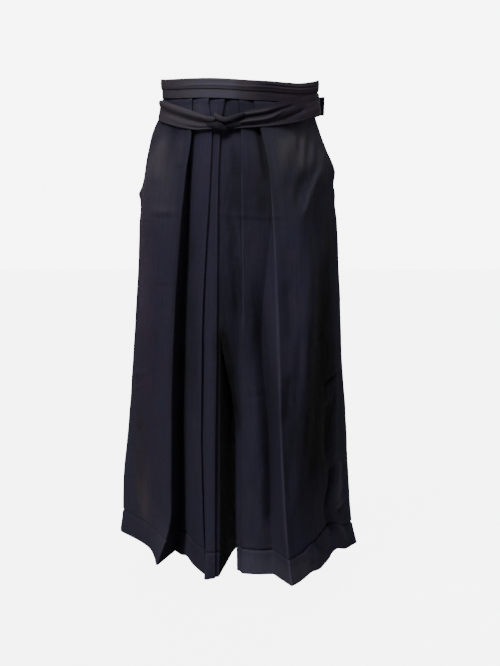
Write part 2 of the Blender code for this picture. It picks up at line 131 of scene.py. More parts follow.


# Woven cloth: yarns cross at right angles on the piece's own UV map, which is in metres along the
# weft (U) and the warp (V). Slubs vary along each yarn, streaks run down the warp, and broad
# patches turn redder or bluer. "edge" lightens a pressed fold, part wear and part painted highlight.
# "fade" is painted light and shade: above 0 paler where light falls, toward -1 darker and toward -2
# darker still where shade falls, with painted shade in crease hollows and painted highlight on ridges.
# "warm" is where it leans red (toward 1) or blue (below 0), and "grey" is where the blue has gone.
def wovenCloth(name, f):
    material = bpy.data.materials.new(name)
    work = Finish(material)
    uv = work.out(work.put("ShaderNodeUVMap", dict(uv_map="weave")))
    cloth = work.put("ShaderNodeSeparateXYZ", None, Vector=uv)
    across, down = work.out(cloth, "X"), work.out(cloth, "Y")
    turn = 2 * math.pi / f["yarn"]
    diagonal = ((across + down) * (turn * 0.5)).wave()
    relief = (down * turn).wave() * 0.3 + (across * turn).wave() * 0.3 + diagonal * f["twill"]

    def stretched(alongWeft, alongWarp):
        scaled = work.put("ShaderNodeMapping", None, Vector=uv, Scale=(alongWeft, alongWarp, 1.0))
        return work.noise(work.out(scaled), 1.0, 3.0)

    def mark(name):
        return work.out(work.put("ShaderNodeAttribute", dict(attribute_name=name)), "Fac")

    place = work.out(work.put("ShaderNodeTexCoord"), "Object")
    slub = stretched(9 / f["slub"], 0.35 / f["slub"]) + stretched(0.45 / f["slub"], 8 / f["slub"])
    streak = stretched(1 / f["streak"], 0.05 / f["streak"])
    patch, tint = work.noise(place, f["patchesPerMetre"], 4.0), work.noise(place, f["tintsPerMetre"], 3.0)
    crumple, lint = work.noise(place, f["crumplesPerMetre"], 3.0), work.noise(place, f["lintPerMetre"], 1.0)
    edge, fade, warm, grey = mark("edge"), mark("fade"), mark("warm"), mark("grey")

    # fade carries painted light (above 0) and painted shade (below 0), and the random patches add to it.
    deepened = fade + (patch - 0.5) * f["deepPatch"]
    colour = (*f["base"], 1.0)
    # The pale fold edges (edge) are part wear and part painted highlight.
    for where, paint in (
            (tint.between(0.48, 0.68) * f["tintShare"], "red"),
            (tint.between(0.50, 0.32) * f["tintShare"], "blue"),
            ((fade + (patch - 0.5) * f["fadedPatch"]).between(0.0, 1.0), "fadedAndLit"),
            (deepened.between(0.0, -1.0), "deep"), (deepened.between(-1.0, -2.0), "paintedShadow"),
            ((slub + streak).between(1.25, 2.0) * f["slubShare"], "fadedAndLit"),
            (streak.between(0.50, 0.28) * f["streakShare"], "deep"),
            (lint.between(0.72, 0.80) * f["lintShare"], "wornAndSheen"), (edge * f["edgeShare"], "wornAndSheen")):
        colour = work.mix(where, colour, (*f[paint], 1.0))
    for where, tone in ((warm.between(0.0, 1.0), "warm"), (warm.between(0.0, -1.0), "cool"),
                        (grey.between(0.0, 1.0), "grey")):
        colour = work.mix(where, colour, (*f[tone], 1.0), "MULTIPLY")
    rough = (patch - 0.5) * 0.12 + f["rough"] + (slub - 1.0) * 0.10 - edge * 0.12
    soft = work.put("ShaderNodeBump", None, Strength=1.0, Distance=f["crumple"],
                    Height=crumple + streak * 0.04)
    bump = work.put("ShaderNodeBump", None, Strength=0.55, Distance=f["relief"], Height=relief + slub * 1.2,
                    Normal=work.out(soft, "Normal"))
    shader = work.put("ShaderNodeBsdfPrincipled", None, Base_Color=colour, Roughness=rough,
                      Normal=work.out(bump, "Normal"))
    shader.inputs["Specular IOR Level"].default_value = f["specular"]
    shader.inputs["Sheen Weight"].default_value = f["sheen"]
    shader.inputs["Sheen Roughness"].default_value = f["sheenRough"]
    shader.inputs["Sheen Tint"].default_value = (*f["sheenTint"], 1.0)
    work.put("ShaderNodeOutputMaterial", None, Surface=work.out(shader, "BSDF"))
    return material


# Sewing thread, with pale flecks.
def sewnThread(name, f):
    material = bpy.data.materials.new(name)
    work = Finish(material)
    place = work.out(work.put("ShaderNodeTexCoord"), "Object")
    fleck = work.noise(place, f["flecksPerMetre"], 2.0)
    colour = work.mix(fleck, (*f["base"], 1.0), tuple(c * f["pale"] for c in f["base"]) + (1.0,))
    shader = work.put("ShaderNodeBsdfPrincipled", None, Base_Color=colour, Roughness=f["rough"])
    shader.inputs["Specular IOR Level"].default_value = f["specular"]
    work.put("ShaderNodeOutputMaterial", None, Surface=work.out(shader, "BSDF"))
    return material


hakamaCloth = wovenCloth("hakamaCloth", clothFinish)
tieCloth = wovenCloth("tieCloth", tieFinish)
boardCloth = wovenCloth("boardCloth", boardFinish)
thread = sewnThread("sewingThread", threadFinish)
print("finishes made")

# Curves and sections.
levels = dict(          # right side seam, centre, left side seam
    band=(-9.0, -9.0, -9.0),
    tie=(-60.0, -60.0, -60.0),
    slit=(-157.0, -145.0, -126.0),
    crotch=(-440.0, -440.0, -440.0),
    knee=(-620.0, -620.0, -620.0),
    shin=(-780.0, -780.0, -780.0),
    hem=(-888.0, -881.0, -884.0),
)
right, centre, left = 0, 1, 2
slitLevel, crotchLevel = list(levels).index("slit"), list(levels).index("crotch")
cloth = dict(wall=1.2, seamStop=0.1, gussetInset=0.55, gussetGap=0.3, gussetSteps=70, foldRadius=1.25,
             foldSteps=8, plySteps=6, rowStep=3.7, fineAbove=26.0, fineBelow=7.0, fineRows=21,
             hemTurn=44.0, hemWall=0.9)
waist = dict(halfWidth=150.0, halfDepth=112.0, bandEase=17.0)


def levelHeights(side):
    return np.array([level[side] for level in levels.values()])


def unit(v):
    return v / np.maximum(np.linalg.norm(v, axis=-1, keepdims=True), 1e-9)


def softStep(t):        # 3t^2 - 2t^3, held at 0 and 1
    t = np.clip(t, 0.0, 1.0)
    return t * t * (3 - 2 * t)


# How much of a place belongs to the front of the garment, 0 to 1, by how far back it lies.
def frontShare(y):
    return softStep((50 - y) / 70)


# Distance run along one axis of a grid of points, from its first point.
def runAlong(points, axis=0):
    step = np.linalg.norm(np.diff(points, axis=axis), axis=-1)
    return np.concatenate([np.zeros_like(step.take([0], axis=axis)), np.cumsum(step, axis=axis)], axis=axis)


# Cubic from low to high as t goes 0 to 1, with the given slopes over a step of this length.
def hermite(t, step, low, high, lowSlope, highSlope):
    return ((1 + 2 * t) * (1 - t) ** 2 * low + t * (1 - t) ** 2 * step * lowSlope
            + t * t * (3 - 2 * t) * high + t * t * (t - 1) * step * highSlope)


# Values of a grid at whole places i, j plus shares u, v of the way to the next.
def blendAt(values, i, j, u, v):
    return ((values[i, j] * (1 - u) + values[i + 1, j] * u) * (1 - v)
            + (values[i, j + 1] * (1 - u) + values[i + 1, j + 1] * u) * v)


# A smooth round heap at a place (a, b), "much" high there and exp(-(off / half)^2) of that around it.
def heap(a, b, halfA, halfB, much):
    return dict(at=np.array((a, b)), half=np.array((halfA, halfB)), much=much)


def heaps(flat, places):
    return sum(place["much"] * np.exp(-(((flat - place["at"]) / place["half"]) ** 2).sum(-1))
               for place in places)


# Monotone cubic through the values: Hermite pieces whose end slopes are weighted harmonic means,
# so the curve never overshoots a station.
def smooth(stations, values, at):
    s, v = np.asarray(stations, float), np.asarray(values, float)
    at = np.atleast_1d(np.asarray(at, float))
    if s[0] > s[-1]:
        s, v = s[::-1], v[::-1]
    step = np.diff(s)
    slope = np.diff(v) / step
    tangent = np.zeros(len(s))
    tangent[0], tangent[-1] = slope[0], slope[-1]
    same = slope[:-1] * slope[1:] > 0
    near, far = 2 * step[1:] + step[:-1], step[1:] + 2 * step[:-1]
    before, after = np.where(same, slope[:-1], 1.0), np.where(same, slope[1:], 1.0)
    tangent[1:-1] = np.where(same, (near + far) / (near / before + far / after), 0.0)
    k = np.clip(np.searchsorted(s, at) - 1, 0, len(s) - 2)
    t = np.clip((at - s[k]) / step[k], 0.0, 1.0)
    return hermite(t, step[k], v[k], v[k + 1], tangent[k], tangent[k + 1])


# Across and forward of one line at many heights. A line may turn sharply at one level.
def lineAt(line, heights, turnLevel=None):
    z = levelHeights(centre)

    def part(used):
        return np.stack([smooth(z[used], line[axis][used], heights) for axis in ("x", "y")], axis=-1)

    if turnLevel is None:
        return part(slice(None))
    above, below = part(slice(turnLevel + 1)), part(slice(turnLevel, None))
    return np.where((heights > z[turnLevel])[:, None], above, below)


# A rounded line through each row's points, sampled at even spacing along the chords.
def curvedRun(points, steps):
    points = np.stack(points, axis=1)
    rows, count = points.shape[:2]
    chord = runAlong(points, 1)
    share = np.linspace(0, 1, steps + 1)
    if count == 2:
        return points[:, :1] + (points[:, 1:] - points[:, :1]) * share[None, :, None]
    gap = np.diff(chord, axis=1)[..., None]
    slope = np.diff(points, axis=1) / gap
    inner = (gap[:, 1:] * slope[:, :-1] + gap[:, :-1] * slope[:, 1:]) / (gap[:, 1:] + gap[:, :-1])
    tangent = np.concatenate([slope[:, :1], inner, slope[:, -1:]], axis=1)
    at = chord[:, -1:] * share
    k = (at[:, :, None] >= chord[:, None, 1:-1]).sum(axis=-1)
    row = np.arange(rows)[:, None]
    length = (chord[row, k + 1] - chord[row, k])[..., None]
    t = ((at - chord[row, k])[..., None]) / length
    return hermite(t, length, points[row, k], points[row, k + 1], tangent[row, k], tangent[row, k + 1])


def turned(v, lean):
    cos, sin = np.cos(lean)[:, None], np.sin(lean)[:, None]
    return np.concatenate([v[:, :1] * cos - v[:, 1:] * sin, v[:, :1] * sin + v[:, 1:] * cos], axis=1)


# Where a straight ply from the point away meets a fold's round, spin +1 turning left.
def touchPoint(middle, away, spin):
    gap = middle - away
    length = np.linalg.norm(gap, axis=-1)
    radius = cloth["foldRadius"]
    lean = np.arcsin(np.minimum(radius / length, 1.0)) * -spin
    return away + turned(unit(gap), lean) * np.sqrt(np.maximum(length ** 2 - radius ** 2, 0.0))[:, None]


def foldArc(middle, arrive, leave, spin):
    first, last = (np.arctan2(*(end - middle).T[::-1]) for end in (arrive, leave))
    sweep = (last - first) * spin % (2 * math.pi)
    angles = first[:, None] + spin * sweep[:, None] * np.linspace(0, 1, cloth["foldSteps"] + 1)
    return middle[:, None] + cloth["foldRadius"] * np.stack([np.cos(angles), np.sin(angles)], axis=-1)


# All levels across a panel at once: smooth runs between folds that turn alternately, like a belt
# round small pulleys. Returns the paths and the columns where an outward fold lies.
def section(start, lines, end, heights, firstSpin, runSteps):
    z = levelHeights(centre)
    stations = [dict(kind="end", at=start)]
    for line in lines:
        if line["kind"] == "tucked":
            edge, before = stations[-1]["at"], stations[-2]["at"]
            back = unit(before - edge)
            inward = firstSpin * np.stack([back[:, 1], -back[:, 0]], axis=-1)
            tuck, drop = smooth(z, line["tuck"], heights), smooth(z, line["drop"], heights)
            stations.append(dict(kind="fold", at=edge + back * tuck[:, None] + inward * drop[:, None]))
        else:
            stations.append(dict(kind=line["kind"], at=lineAt(line, heights)))
    stations.append(dict(kind="end", at=end))

    folds = [k for k, here in enumerate(stations) if here["kind"] == "fold"]
    for turn, k in enumerate(folds):
        here, before, after = stations[k], stations[k - 1], stations[k + 1]
        back = unit(here["at"] - before["at"]) + unit(here["at"] - after["at"])
        here["middle"] = here["at"] - unit(back) * cloth["foldRadius"]
        here["spin"] = firstSpin if turn % 2 == 0 else -firstSpin
    for k in folds:
        here, before, after = stations[k], stations[k - 1], stations[k + 1]
        come = (before["middle"] + here["middle"]) / 2 if before["kind"] == "fold" else before["at"]
        go = (after["middle"] + here["middle"]) / 2 if after["kind"] == "fold" else after["at"]
        here["arrive"] = touchPoint(here["middle"], come, here["spin"])
        here["leave"] = touchPoint(here["middle"], go, -here["spin"])

    path, outward, columns, run, runsDone = [], [], 0, [stations[0]["at"]], 0
    for k, here in enumerate(stations[1:], start=1):
        if here["kind"] == "soft":
            run.append(here["at"])
            continue
        if here["kind"] == "end":
            run.append(here["at"])
            path.append(curvedRun(run, runSteps[runsDone]))
            continue
        run.append(here["arrive"])
        afterFold = stations[k - 1]["kind"] == "fold"
        steps = cloth["plySteps"] if afterFold else runSteps[runsDone]
        runsDone += 0 if afterFold else 1
        path.append(curvedRun(run, steps)[:, :-1])
        path.append(foldArc(here["middle"], here["arrive"], here["leave"], here["spin"])[:, :-1])
        columns += steps
        if folds.index(k) % 2 == 0:
            outward.append(columns + cloth["foldSteps"] // 2)
        columns += cloth["foldSteps"]
        run = [here["leave"]]
    return np.concatenate(path, axis=1), outward


# Rows are closer together where the hem is caught down.
def rowHeights(top):
    bottom = levelHeights(centre)[-1]
    high, low = bottom + cloth["hemTurn"] + cloth["fineAbove"], bottom + cloth["hemTurn"] - cloth["fineBelow"]
    above = np.linspace(top, high, int(round((top - high) / cloth["rowStep"])) + 1)
    below = np.linspace(low, bottom, int(round((low - bottom) / cloth["rowStep"])) + 1)
    return np.concatenate([above[:-1], np.linspace(high, low, cloth["fineRows"]), below[1:]])


# Rows from the top edge to the hem, columns from the side seam to the centre.
def panelGrid(side, sideLine, lines, innerLine, top, room, firstSpin, runSteps):
    z = levelHeights(centre)
    heights = rowHeights(top)
    here = np.minimum(heights, z[0])
    start, end = lineAt(sideLine, here, slitLevel), lineAt(innerLine, here, crotchLevel)
    path, outward = section(start, lines, end, here, firstSpin, runSteps)
    reach = np.hypot(path[..., 0] / waist["halfWidth"], path[..., 1] / waist["halfDepth"])
    held = softStep((heights - z[0] + waist["bandEase"]) / waist["bandEase"])[:, None] * (top > z[0])
    path = path * (1 + held * (1 / np.maximum(reach / room, 1.0) - 1))[..., None]
    along = unit(path[:, 1] - path[:, 0])
    path[:, 0] += along * cloth["seamStop"]
    sideZ = np.where(heights < z[1], np.interp(heights, z[::-1], levelHeights(side)[::-1]), heights)
    run = runAlong(path, 1)
    share = run / run[:, -1:]
    height = sideZ[:, None] + (heights - sideZ)[:, None] * share
    return np.concatenate([path, height[..., None]], axis=-1), outward


# The inner leg wall, from the crotch to the hem, between the front and back panels.
def gussetGrid(frontLine, backLine, wearerSide):
    heights = rowHeights(levelHeights(centre)[crotchLevel])
    front, back = lineAt(frontLine, heights, crotchLevel), lineAt(backLine, heights, crotchLevel)
    along = unit(back - front)
    front, back = front + along * cloth["gussetGap"], back - along * cloth["gussetGap"]
    share = np.linspace(0, 1, cloth["gussetSteps"] + 1)[None, :, None]
    path = front[:, None] + (back - front)[:, None] * share
    path = path + np.array([wearerSide * cloth["gussetInset"], 0.0])
    height = np.broadcast_to(heights[:, None, None], path.shape[:2] + (1,))
    return np.concatenate([path, height], axis=-1)


# Creases are soft troughs and ridges laid along short bent lines. This gives each point's distance
# to a line, and how far along the line its nearest point is (0 to 1).
def alongLine(flat, line):
    line = np.asarray(line, float)
    starts = runAlong(line)
    best = np.full(flat.shape[:-1], 1e9)
    place = np.zeros(flat.shape[:-1])
    for k, length in enumerate(np.linalg.norm(np.diff(line, axis=0), axis=1)):
        way = (line[k + 1] - line[k]) / length
        gap = flat - line[k]
        t = np.clip(gap @ way, 0.0, length)
        off = gap - t[..., None] * way
        distance = np.linalg.norm(off, axis=-1)
        nearer = distance < best
        best = np.where(nearer, distance, best)
        place = np.where(nearer, (starts[k] + t) / starts[-1], place)
    return best, place


# Along its path a crease moves the cloth out by depth x exp(-(distance / width)^2), fading to nothing
# over the "start" and "end" shares of its length. It also paints shading: painted highlight on ridges
# and painted shade in troughs (depth below 0).
def crease(width, depth, *path, start=0.25, end=0.25, paintedShading=None):
    return dict(path=path, width=width, depth=depth, start=start, end=end,
                paintedShading=0.06 * depth if paintedShading is None else paintedShading)


def creaseFields(flat, creases):
    relief, paintedShading = np.zeros(flat.shape[:-1]), np.zeros(flat.shape[:-1])
    for line in creases:
        distance, place = alongLine(flat, line["path"])
        ends = softStep(place / line["start"]) * softStep((1 - place) / line["end"])
        shape = ends * np.exp(-(distance / line["width"]) ** 2)
        relief += line["depth"] * shape
        paintedShading += line["paintedShading"] * shape
    return relief, paintedShading


def creasesOf(grid):
    front = frontShare(grid[..., 1])
    ahead, behind = creaseFields(grid[..., ::2], frontCreases), creaseFields(grid[..., ::2], backCreases)
    return [a * front + b * (1 - front) for a, b in zip(ahead, behind)]


# Smooth noise: random values on a square lattice, joined by soft steps.
def ripple(a, b, cellA, cellB, seed):
    lattice = np.random.default_rng(seed).uniform(-1, 1, (64, 64))
    u, v = a / cellA + 31.7, b / cellB + 31.3
    i, j = np.floor(u).astype(int), np.floor(v).astype(int)
    fu, fv = softStep(u - i), softStep(v - j)
    i, j = i % 63, j % 63
    return blendAt(lattice, i, j, fu, fv)


# How far the waistband dips and rises round the waist, in degrees from the front centre.
sag = dict(angle=(-180, -100, -78, -50, -10, 25, 48, 75, 92, 180),
           rise=(0, 21, 18, 9, 1.8, -4.2, -5.0, 5, 12, 0))


def waistPoint(angle, out, height):
    turn = np.radians(angle)
    return np.stack([(waist["halfWidth"] + out) * np.sin(turn), -(waist["halfDepth"] + out) * np.cos(turn),
                     height + 0 * turn], axis=-1)


def bandRise(angle):
    return smooth(sag["angle"], sag["rise"], angle.ravel()).reshape(angle.shape)


# Creases: width, depth, then x across and z up along the path.
# Where a crease is given its own shading value, that is its painted shading; otherwise the shading is 0.06 x
# depth. This puts painted shade along troughs, such as beside the outer pleat edge of the left front and down
# the shaded side of the strip, and painted highlight along ridges.
frontCreases = [
    crease(10, -4.2, (-106, -44), (-118, -92), (-138, -150), start=0.15, end=0.5),
    crease(9, 3.4, (-134, -60), (-146, -110), (-150, -160)),
    crease(8, 2.4, (-92, -70), (-98, -130)),
    crease(10, 2.0, (-56, -3), (-57, -20), (-55, -40), start=0.3, end=0.3),
    crease(5, -4.5, (52, -44), (62, -90), (76, -170), start=0.1, end=0.4, paintedShading=-1.2),
    crease(8, -2.6, (4, -80), (14, -120), (24, -170), start=0.4, end=0.4),
    crease(7, -4.0, (-2, -205), (8, -240), (20, -292), start=0.5),
    crease(9, -5.5, (6, -262), (17, -318), (26, -420)),
    crease(6, 2.0, (14, -190), (24, -262), (30, -330)),
    crease(11, -1.5, (-10, -415), (-6, -450), (2, -490), (8, -519), (14, -558), (20, -596), (19, -650),
           start=0.2, end=0.3, paintedShading=-1.5),
    crease(9, 2.2, (-168, -203), (-130, -207), (-82, -209), start=0.3, end=0.5),
    crease(4.4, -1.0, (-168, -214), (-128, -217.5), (-84, -216), start=0.4, end=0.5),
    crease(4.4, -0.75, (-30, -219), (35, -224), (84, -227), (134, -225), start=0.4, end=0.4),
    crease(5, 0.7, (-30, -212), (35, -217), (84, -220), (134, -218), start=0.4, end=0.4),
    crease(4, -0.8, (-168, -352), (-120, -348), (-90, -349), start=0.4, end=0.4),
    crease(4, -0.9, (20, -553), (60, -549), (98, -548), start=0.4, end=0.4),
    crease(13, -8.0, (50, -300), (59, -370), (66, -444), (76, -520), (83, -618), (86, -706), (88, -810),
           start=0.3, end=0.08),
    crease(3.6, 5.2, (162, -120), (147, -176), (137, -226)),
    crease(9, -6.0, (152, -112), (134, -160), (124, -218), start=0.4, end=0.4),
    crease(8, -3.5, (172, -150), (160, -200), (156, -250)),
    crease(13, -3.4, (129, -72), (118, -135), (106, -205), start=0.4, end=0.4),
    crease(16, 3.0, (102, -60), (108, -120), (104, -210), end=0.6),
    crease(3.8, 2.2, (133, -56), (136, -146), end=0.5),
    crease(3.6, 2.0, (148, -56), (150, -160), end=0.5),
    crease(3.6, -2.0, (141, -56), (143, -138), end=0.5),
    crease(3.8, -1.6, (126, -60), (127, -118), end=0.5),
    crease(3.6, -1.6, (155, -70), (157, -142), end=0.5),
    crease(3.8, 2.2, (165, -76), (163, -158), end=0.4),
    crease(13, 5.5, (162, -240), (154, -374), (151, -447), (147, -532), (145, -621), (138, -704),
           (132, -790), start=0.15, end=0.15),
    crease(12, -6.5, (176, -260), (172, -374), (170, -460), (166, -560), (160, -660), (152, -760),
           start=0.15, end=0.15),
    crease(5, 3.0, (190, -300), (188, -400), (190, -480)),
    crease(8, -4.0, (123, -500), (118, -556), (113, -615)),
    crease(10, -3.4, (112, -330), (120, -400), (122, -470)),
    crease(6, -2.6, (138, -420), (134, -520), (128, -600)),
    crease(4.0, 5.5, (-172, -520), (-206, -528), (-244, -534), start=0.7, end=0.05),
    crease(4.0, -3.0, (-180, -533), (-214, -541), (-244, -546), start=0.7, end=0.05),
    crease(4.0, 4.5, (-190, -552), (-216, -558), (-244, -566), start=0.7, end=0.05),
    crease(6, -2.0, (-190, -640), (-240, -652)),
    crease(14, -3.0, (-150, -420), (-156, -520), (-152, -600)),
    crease(13, 2.4, (-196, -300), (-204, -420), (-212, -500)),
    crease(9, -3.0, (-222, -620), (-232, -720), (-240, -820)),
    crease(13, 3.0, (-168, -690), (-178, -770), (-190, -850)),
    crease(9, -1.8, (-70, -360), (-72, -430), (-68, -500)),
    crease(10, 2.0, (-62, -560), (-60, -660), (-54, -760)),
    crease(9, -2.4, (60, -640), (58, -740), (54, -830)),
    crease(3.2, -5.0, (174, -545), (197, -517)),
    crease(4.4, 5.0, (184, -530), (202, -500)),
    crease(6, -6.0, (186, -560), (180, -640), (184, -700)),
    crease(4.6, -8.0, (190, -700), (189, -742), (183, -768), (181, -790), (186, -815), (195, -860),
           start=0.1, end=0.15, paintedShading=-0.9),
    crease(6.5, 8.0, (199, -690), (201, -735), (196, -775), (194, -802), paintedShading=0.9),
    crease(3.8, -5.0, (209, -696), (206, -725), (200, -750), paintedShading=-0.9),
    crease(5, 5.0, (214, -640), (212, -700), (216, -750), paintedShading=0.5),
    crease(4.2, 6.5, (190, -806), (202, -790), (216, -776), paintedShading=0.8),
    crease(3.8, -4.5, (196, -812), (210, -798), (222, -790), paintedShading=-0.6),
    crease(6, 5.0, (200, -826), (206, -850), (216, -874), paintedShading=0.5),
    crease(3.2, -4.0, (160, -826), (174, -854), (188, -878)),
    crease(5, 2.6, (150, -838), (164, -868)),
    crease(4, -4.0, (192, -546), (190, -613), (193, -655)),
]
backCreases = [
    crease(11, -3.4, (-88, -60), (-104, -120), (-112, -190)),
    crease(10, -3.0, (96, -55), (110, -118), (114, -182)),
    crease(12, -2.6, (-20, -150), (-10, -230), (-4, -330)),
    crease(11, -2.4, (22, -180), (12, -260), (6, -350)),
    crease(3, -1.2, (-130, -236), (-60, -240)),
    crease(3, -1.1, (58, -232), (128, -229)),
    crease(3, -1.0, (-150, -560), (-70, -556)),
    crease(3, -1.0, (70, -552), (140, -557)),
    crease(15, -3.6, (-118, -420), (-124, -560), (-134, -720)),
    crease(15, -3.4, (112, -400), (116, -560), (126, -730)),
    crease(9, 3.4, (-168, -640), (-176, -750), (-186, -840)),
    crease(9, 3.0, (150, -650), (158, -740), (164, -850)),
    crease(7, -3.2, (-200, -700), (-190, -790)),
    crease(7, -3.0, (182, -690), (176, -800)),
]
# Swells are how far, then the cell across and up, then the draw, and they come in below "easeAt". The
# front puffs out under the band. The groove is where the hem is caught down, and it pulls deeper from
# "pullAt" outward. Its line climbs at one place of the front left, where the turn was folded deeper.
drape = dict(swells=((2.0, 34, 150, 11), (0.6, 13, 36, 5)), easeAt=-40, easeOver=120,
             puff=3.2, puffEdge=4.5, puffFoot=-75, puffOver=55,
             hemGroove=2.4, hemWidth=2.4, hemBand=0.7, hemKick=5.0, pull=0.7, pullAt=120, pullOver=30,
             wander=1.6, climb=18, climbAt=179, climbWidth=13)
# Broad places painted paler (above 0) and darker (below 0): across and up, half sizes, how much. On the front
# these are painted light and painted shade: the hips are painted paler where light falls, and the pleat
# hollows, the gap between the legs, the middle and the side turned from the light are painted darker where
# shade falls. On the back they are paler and darker places.
frontPaintedShading = [
    heap(-160, -140, 56, 130, 0.8), heap(142, -80, 50, 76, 0.9), heap(-70, -24, 44, 24, 0.35),
    heap(52, -26, 58, 30, -1.25), heap(0, -46, 24, 14, -0.5), heap(-205, -620, 64, 110, -0.4),
    heap(-196, -790, 50, 80, 0.45), heap(-190, -330, 32, 130, 0.4), heap(-84, -250, 11, 110, -0.8),
    heap(-94, -430, 12, 130, -1.5), heap(-98, -640, 12, 150, -1.5), heap(-64, -440, 18, 240, -0.5),
    heap(-112, -850, 34, 40, 0.7), heap(18, -200, 44, 170, -0.5), heap(40, -400, 40, 130, -0.5),
    heap(78, -180, 30, 66, -0.5), heap(8, -160, 18, 60, -0.4), heap(2, -450, 17, 120, -1.3),
    heap(-9, -620, 8, 220, -1.0), heap(96, -560, 30, 120, -0.3), heap(174, -480, 26, 190, -1.4),
    heap(152, -630, 40, 130, -1.2), heap(166, -620, 20, 130, -0.7), heap(224, -770, 26, 110, 0.6),
    heap(54, -790, 50, 80, 0.4), heap(62, -868, 60, 30, 0.75), heap(150, -868, 34, 30, 0.7),
]
backPaleAndDark = [
    heap(-120, -120, 60, 110, 0.5), heap(90, -140, 60, 100, 0.4), heap(-20, -500, 60, 160, -0.3),
    heap(150, -760, 50, 110, 0.4), heap(-160, -640, 40, 150, -0.4),
]
# Broad places where the dye leans red (above 0) or blue.
frontWarms = [
    heap(-205, -420, 72, 430, 1.1), heap(-40, -120, 60, 90, 0.4), heap(62, -868, 60, 40, -0.9),
    heap(170, -850, 50, 46, 0.6), heap(-215, -660, 66, 140, 0.5), heap(40, -26, 44, 26, -1.0),
    heap(20, -320, 60, 200, -0.4),
]
backWarms = [
    heap(170, -300, 80, 300, 0.8), heap(-150, -650, 60, 200, 0.5),
]
# Broad places where the dye has lost its blue.
frontGreys = [
    heap(96, -80, 46, 70, 0.56), heap(96, -190, 60, 70, 0.36), heap(-118, -120, 56, 90, 0.36),
    heap(-215, -700, 62, 150, 0.6), heap(184, -300, 28, 190, 0.65), heap(96, -800, 40, 100, 0.2),
]
backGreys = [
    heap(110, -130, 70, 90, 0.5), heap(-120, -700, 60, 150, 0.4),
]


# One distance round the garment, for its noise.
def roundPlace(x, y):
    return x + 0.8 * y


# Height of the line where the hem is caught down.
def hemLine(x, y):
    level = levelHeights(centre)[-1] + cloth["hemTurn"]
    climb = drape["climb"] * frontShare(y) * np.exp(-((x - drape["climbAt"]) / drape["climbWidth"]) ** 2)
    return level + drape["wander"] * ripple(roundPlace(x, y), x * 0, 60, 60, 3) + climb


# Moves cloth in and out, away from the middle of the garment, all layers together, by the creases,
# a slow uneven swell and the groove where the hem is caught down.
def drapeCloth(grid, relief):
    x, y, z = grid[..., 0], grid[..., 1], grid[..., 2]
    around, front = roundPlace(x, y), frontShare(y)
    easy = softStep((drape["easeAt"] - z) / drape["easeOver"])
    field = relief.copy()
    for much, across, up, draw in drape["swells"]:
        field += much * easy * ripple(around, z, across, up, draw)
    rise = bandRise(np.degrees(np.arctan2(x / waist["halfWidth"], -y / waist["halfDepth"])))
    puff = softStep((rise - z - 0.2) / drape["puffEdge"]) * front
    puff = puff * softStep((z - drape["puffFoot"]) / drape["puffOver"])
    field += drape["puff"] * puff * (1 + 0.4 * ripple(around, z * 0, 15, 15, 41))
    caught = hemLine(x, y)
    pulled = 1 + drape["pull"] * front * softStep((x - drape["pullAt"]) / drape["pullOver"])
    pulled = pulled * (1 + 0.35 * ripple(around, z * 0, 7, 7, 8))
    field -= drape["hemGroove"] * pulled * np.exp(-((z - caught) / drape["hemWidth"]) ** 2)
    field += drape["hemBand"] * softStep((caught - z) / 4)
    field += drape["hemKick"] * (np.clip((caught - z) / cloth["hemTurn"], 0, 1) ** 1.5)
    outward = unit(np.stack([x * 0.45, y - 10], axis=-1))
    moved = grid.copy()
    moved[..., :2] += outward * field[..., None]
    return moved


def dyeAndShadeField(grid, frontPlaces, backPlaces):
    front, flat = frontShare(grid[..., 1]), grid[..., ::2]
    total = front * heaps(flat, frontPlaces) + (1 - front) * heaps(flat, backPlaces)
    return total * (1 + 0.3 * ripple(grid[..., 0] + grid[..., 1], grid[..., 2], 22, 60, 51))


# Making meshes.
def gridNormals(grid):
    along, down = np.gradient(grid, axis=1), np.gradient(grid, axis=0)
    return unit(np.cross(along, down))


# Metres along each direction of the grid, measured on the surface, for the weave.
def surfaceMap(grid):
    across, down = runAlong(grid, 1), runAlong(grid)
    middle = grid.shape[1] // 2
    return np.stack([across - across[:, middle:middle + 1], down], axis=-1) * mm


# Turns grids of corner numbers into quads.
def quadsOf(index):
    return np.stack([index[:-1, :-1], index[:-1, 1:], index[1:, 1:], index[1:, :-1]], axis=-1).reshape(-1, 4)


def makeMesh(name, points, quads, uv, material, edge=None, fade=None, warm=None, grey=None, sharp=50.0):
    mesh = bpy.data.meshes.new(name)
    mesh.vertices.add(len(points))
    mesh.vertices.foreach_set("co", (points * mm).astype(np.float32).ravel())
    mesh.loops.add(quads.size)
    mesh.loops.foreach_set("vertex_index", quads.ravel().astype(np.int32))
    mesh.polygons.add(len(quads))
    mesh.polygons.foreach_set("loop_start", np.arange(0, quads.size, 4, dtype=np.int32))
    mesh.update(calc_edges=True)
    layer = mesh.uv_layers.new(name="weave")
    layer.data.foreach_set("uv", uv[quads.ravel()].astype(np.float32).ravel())
    for key, values in (("edge", edge), ("fade", fade), ("warm", warm), ("grey", grey)):
        values = np.zeros(len(points)) if values is None else values
        attribute = mesh.attributes.new(key, "FLOAT", "POINT")
        attribute.data.foreach_set("value", values.astype(np.float32).ravel())
    mesh.validate()
    mesh.shade_smooth()
    mesh.set_sharp_from_angle(angle=math.radians(sharp))
    mesh.materials.append(material)
    ob = bpy.data.objects.new(name, mesh)
    bpy.context.scene.collection.objects.link(ob)
    return ob


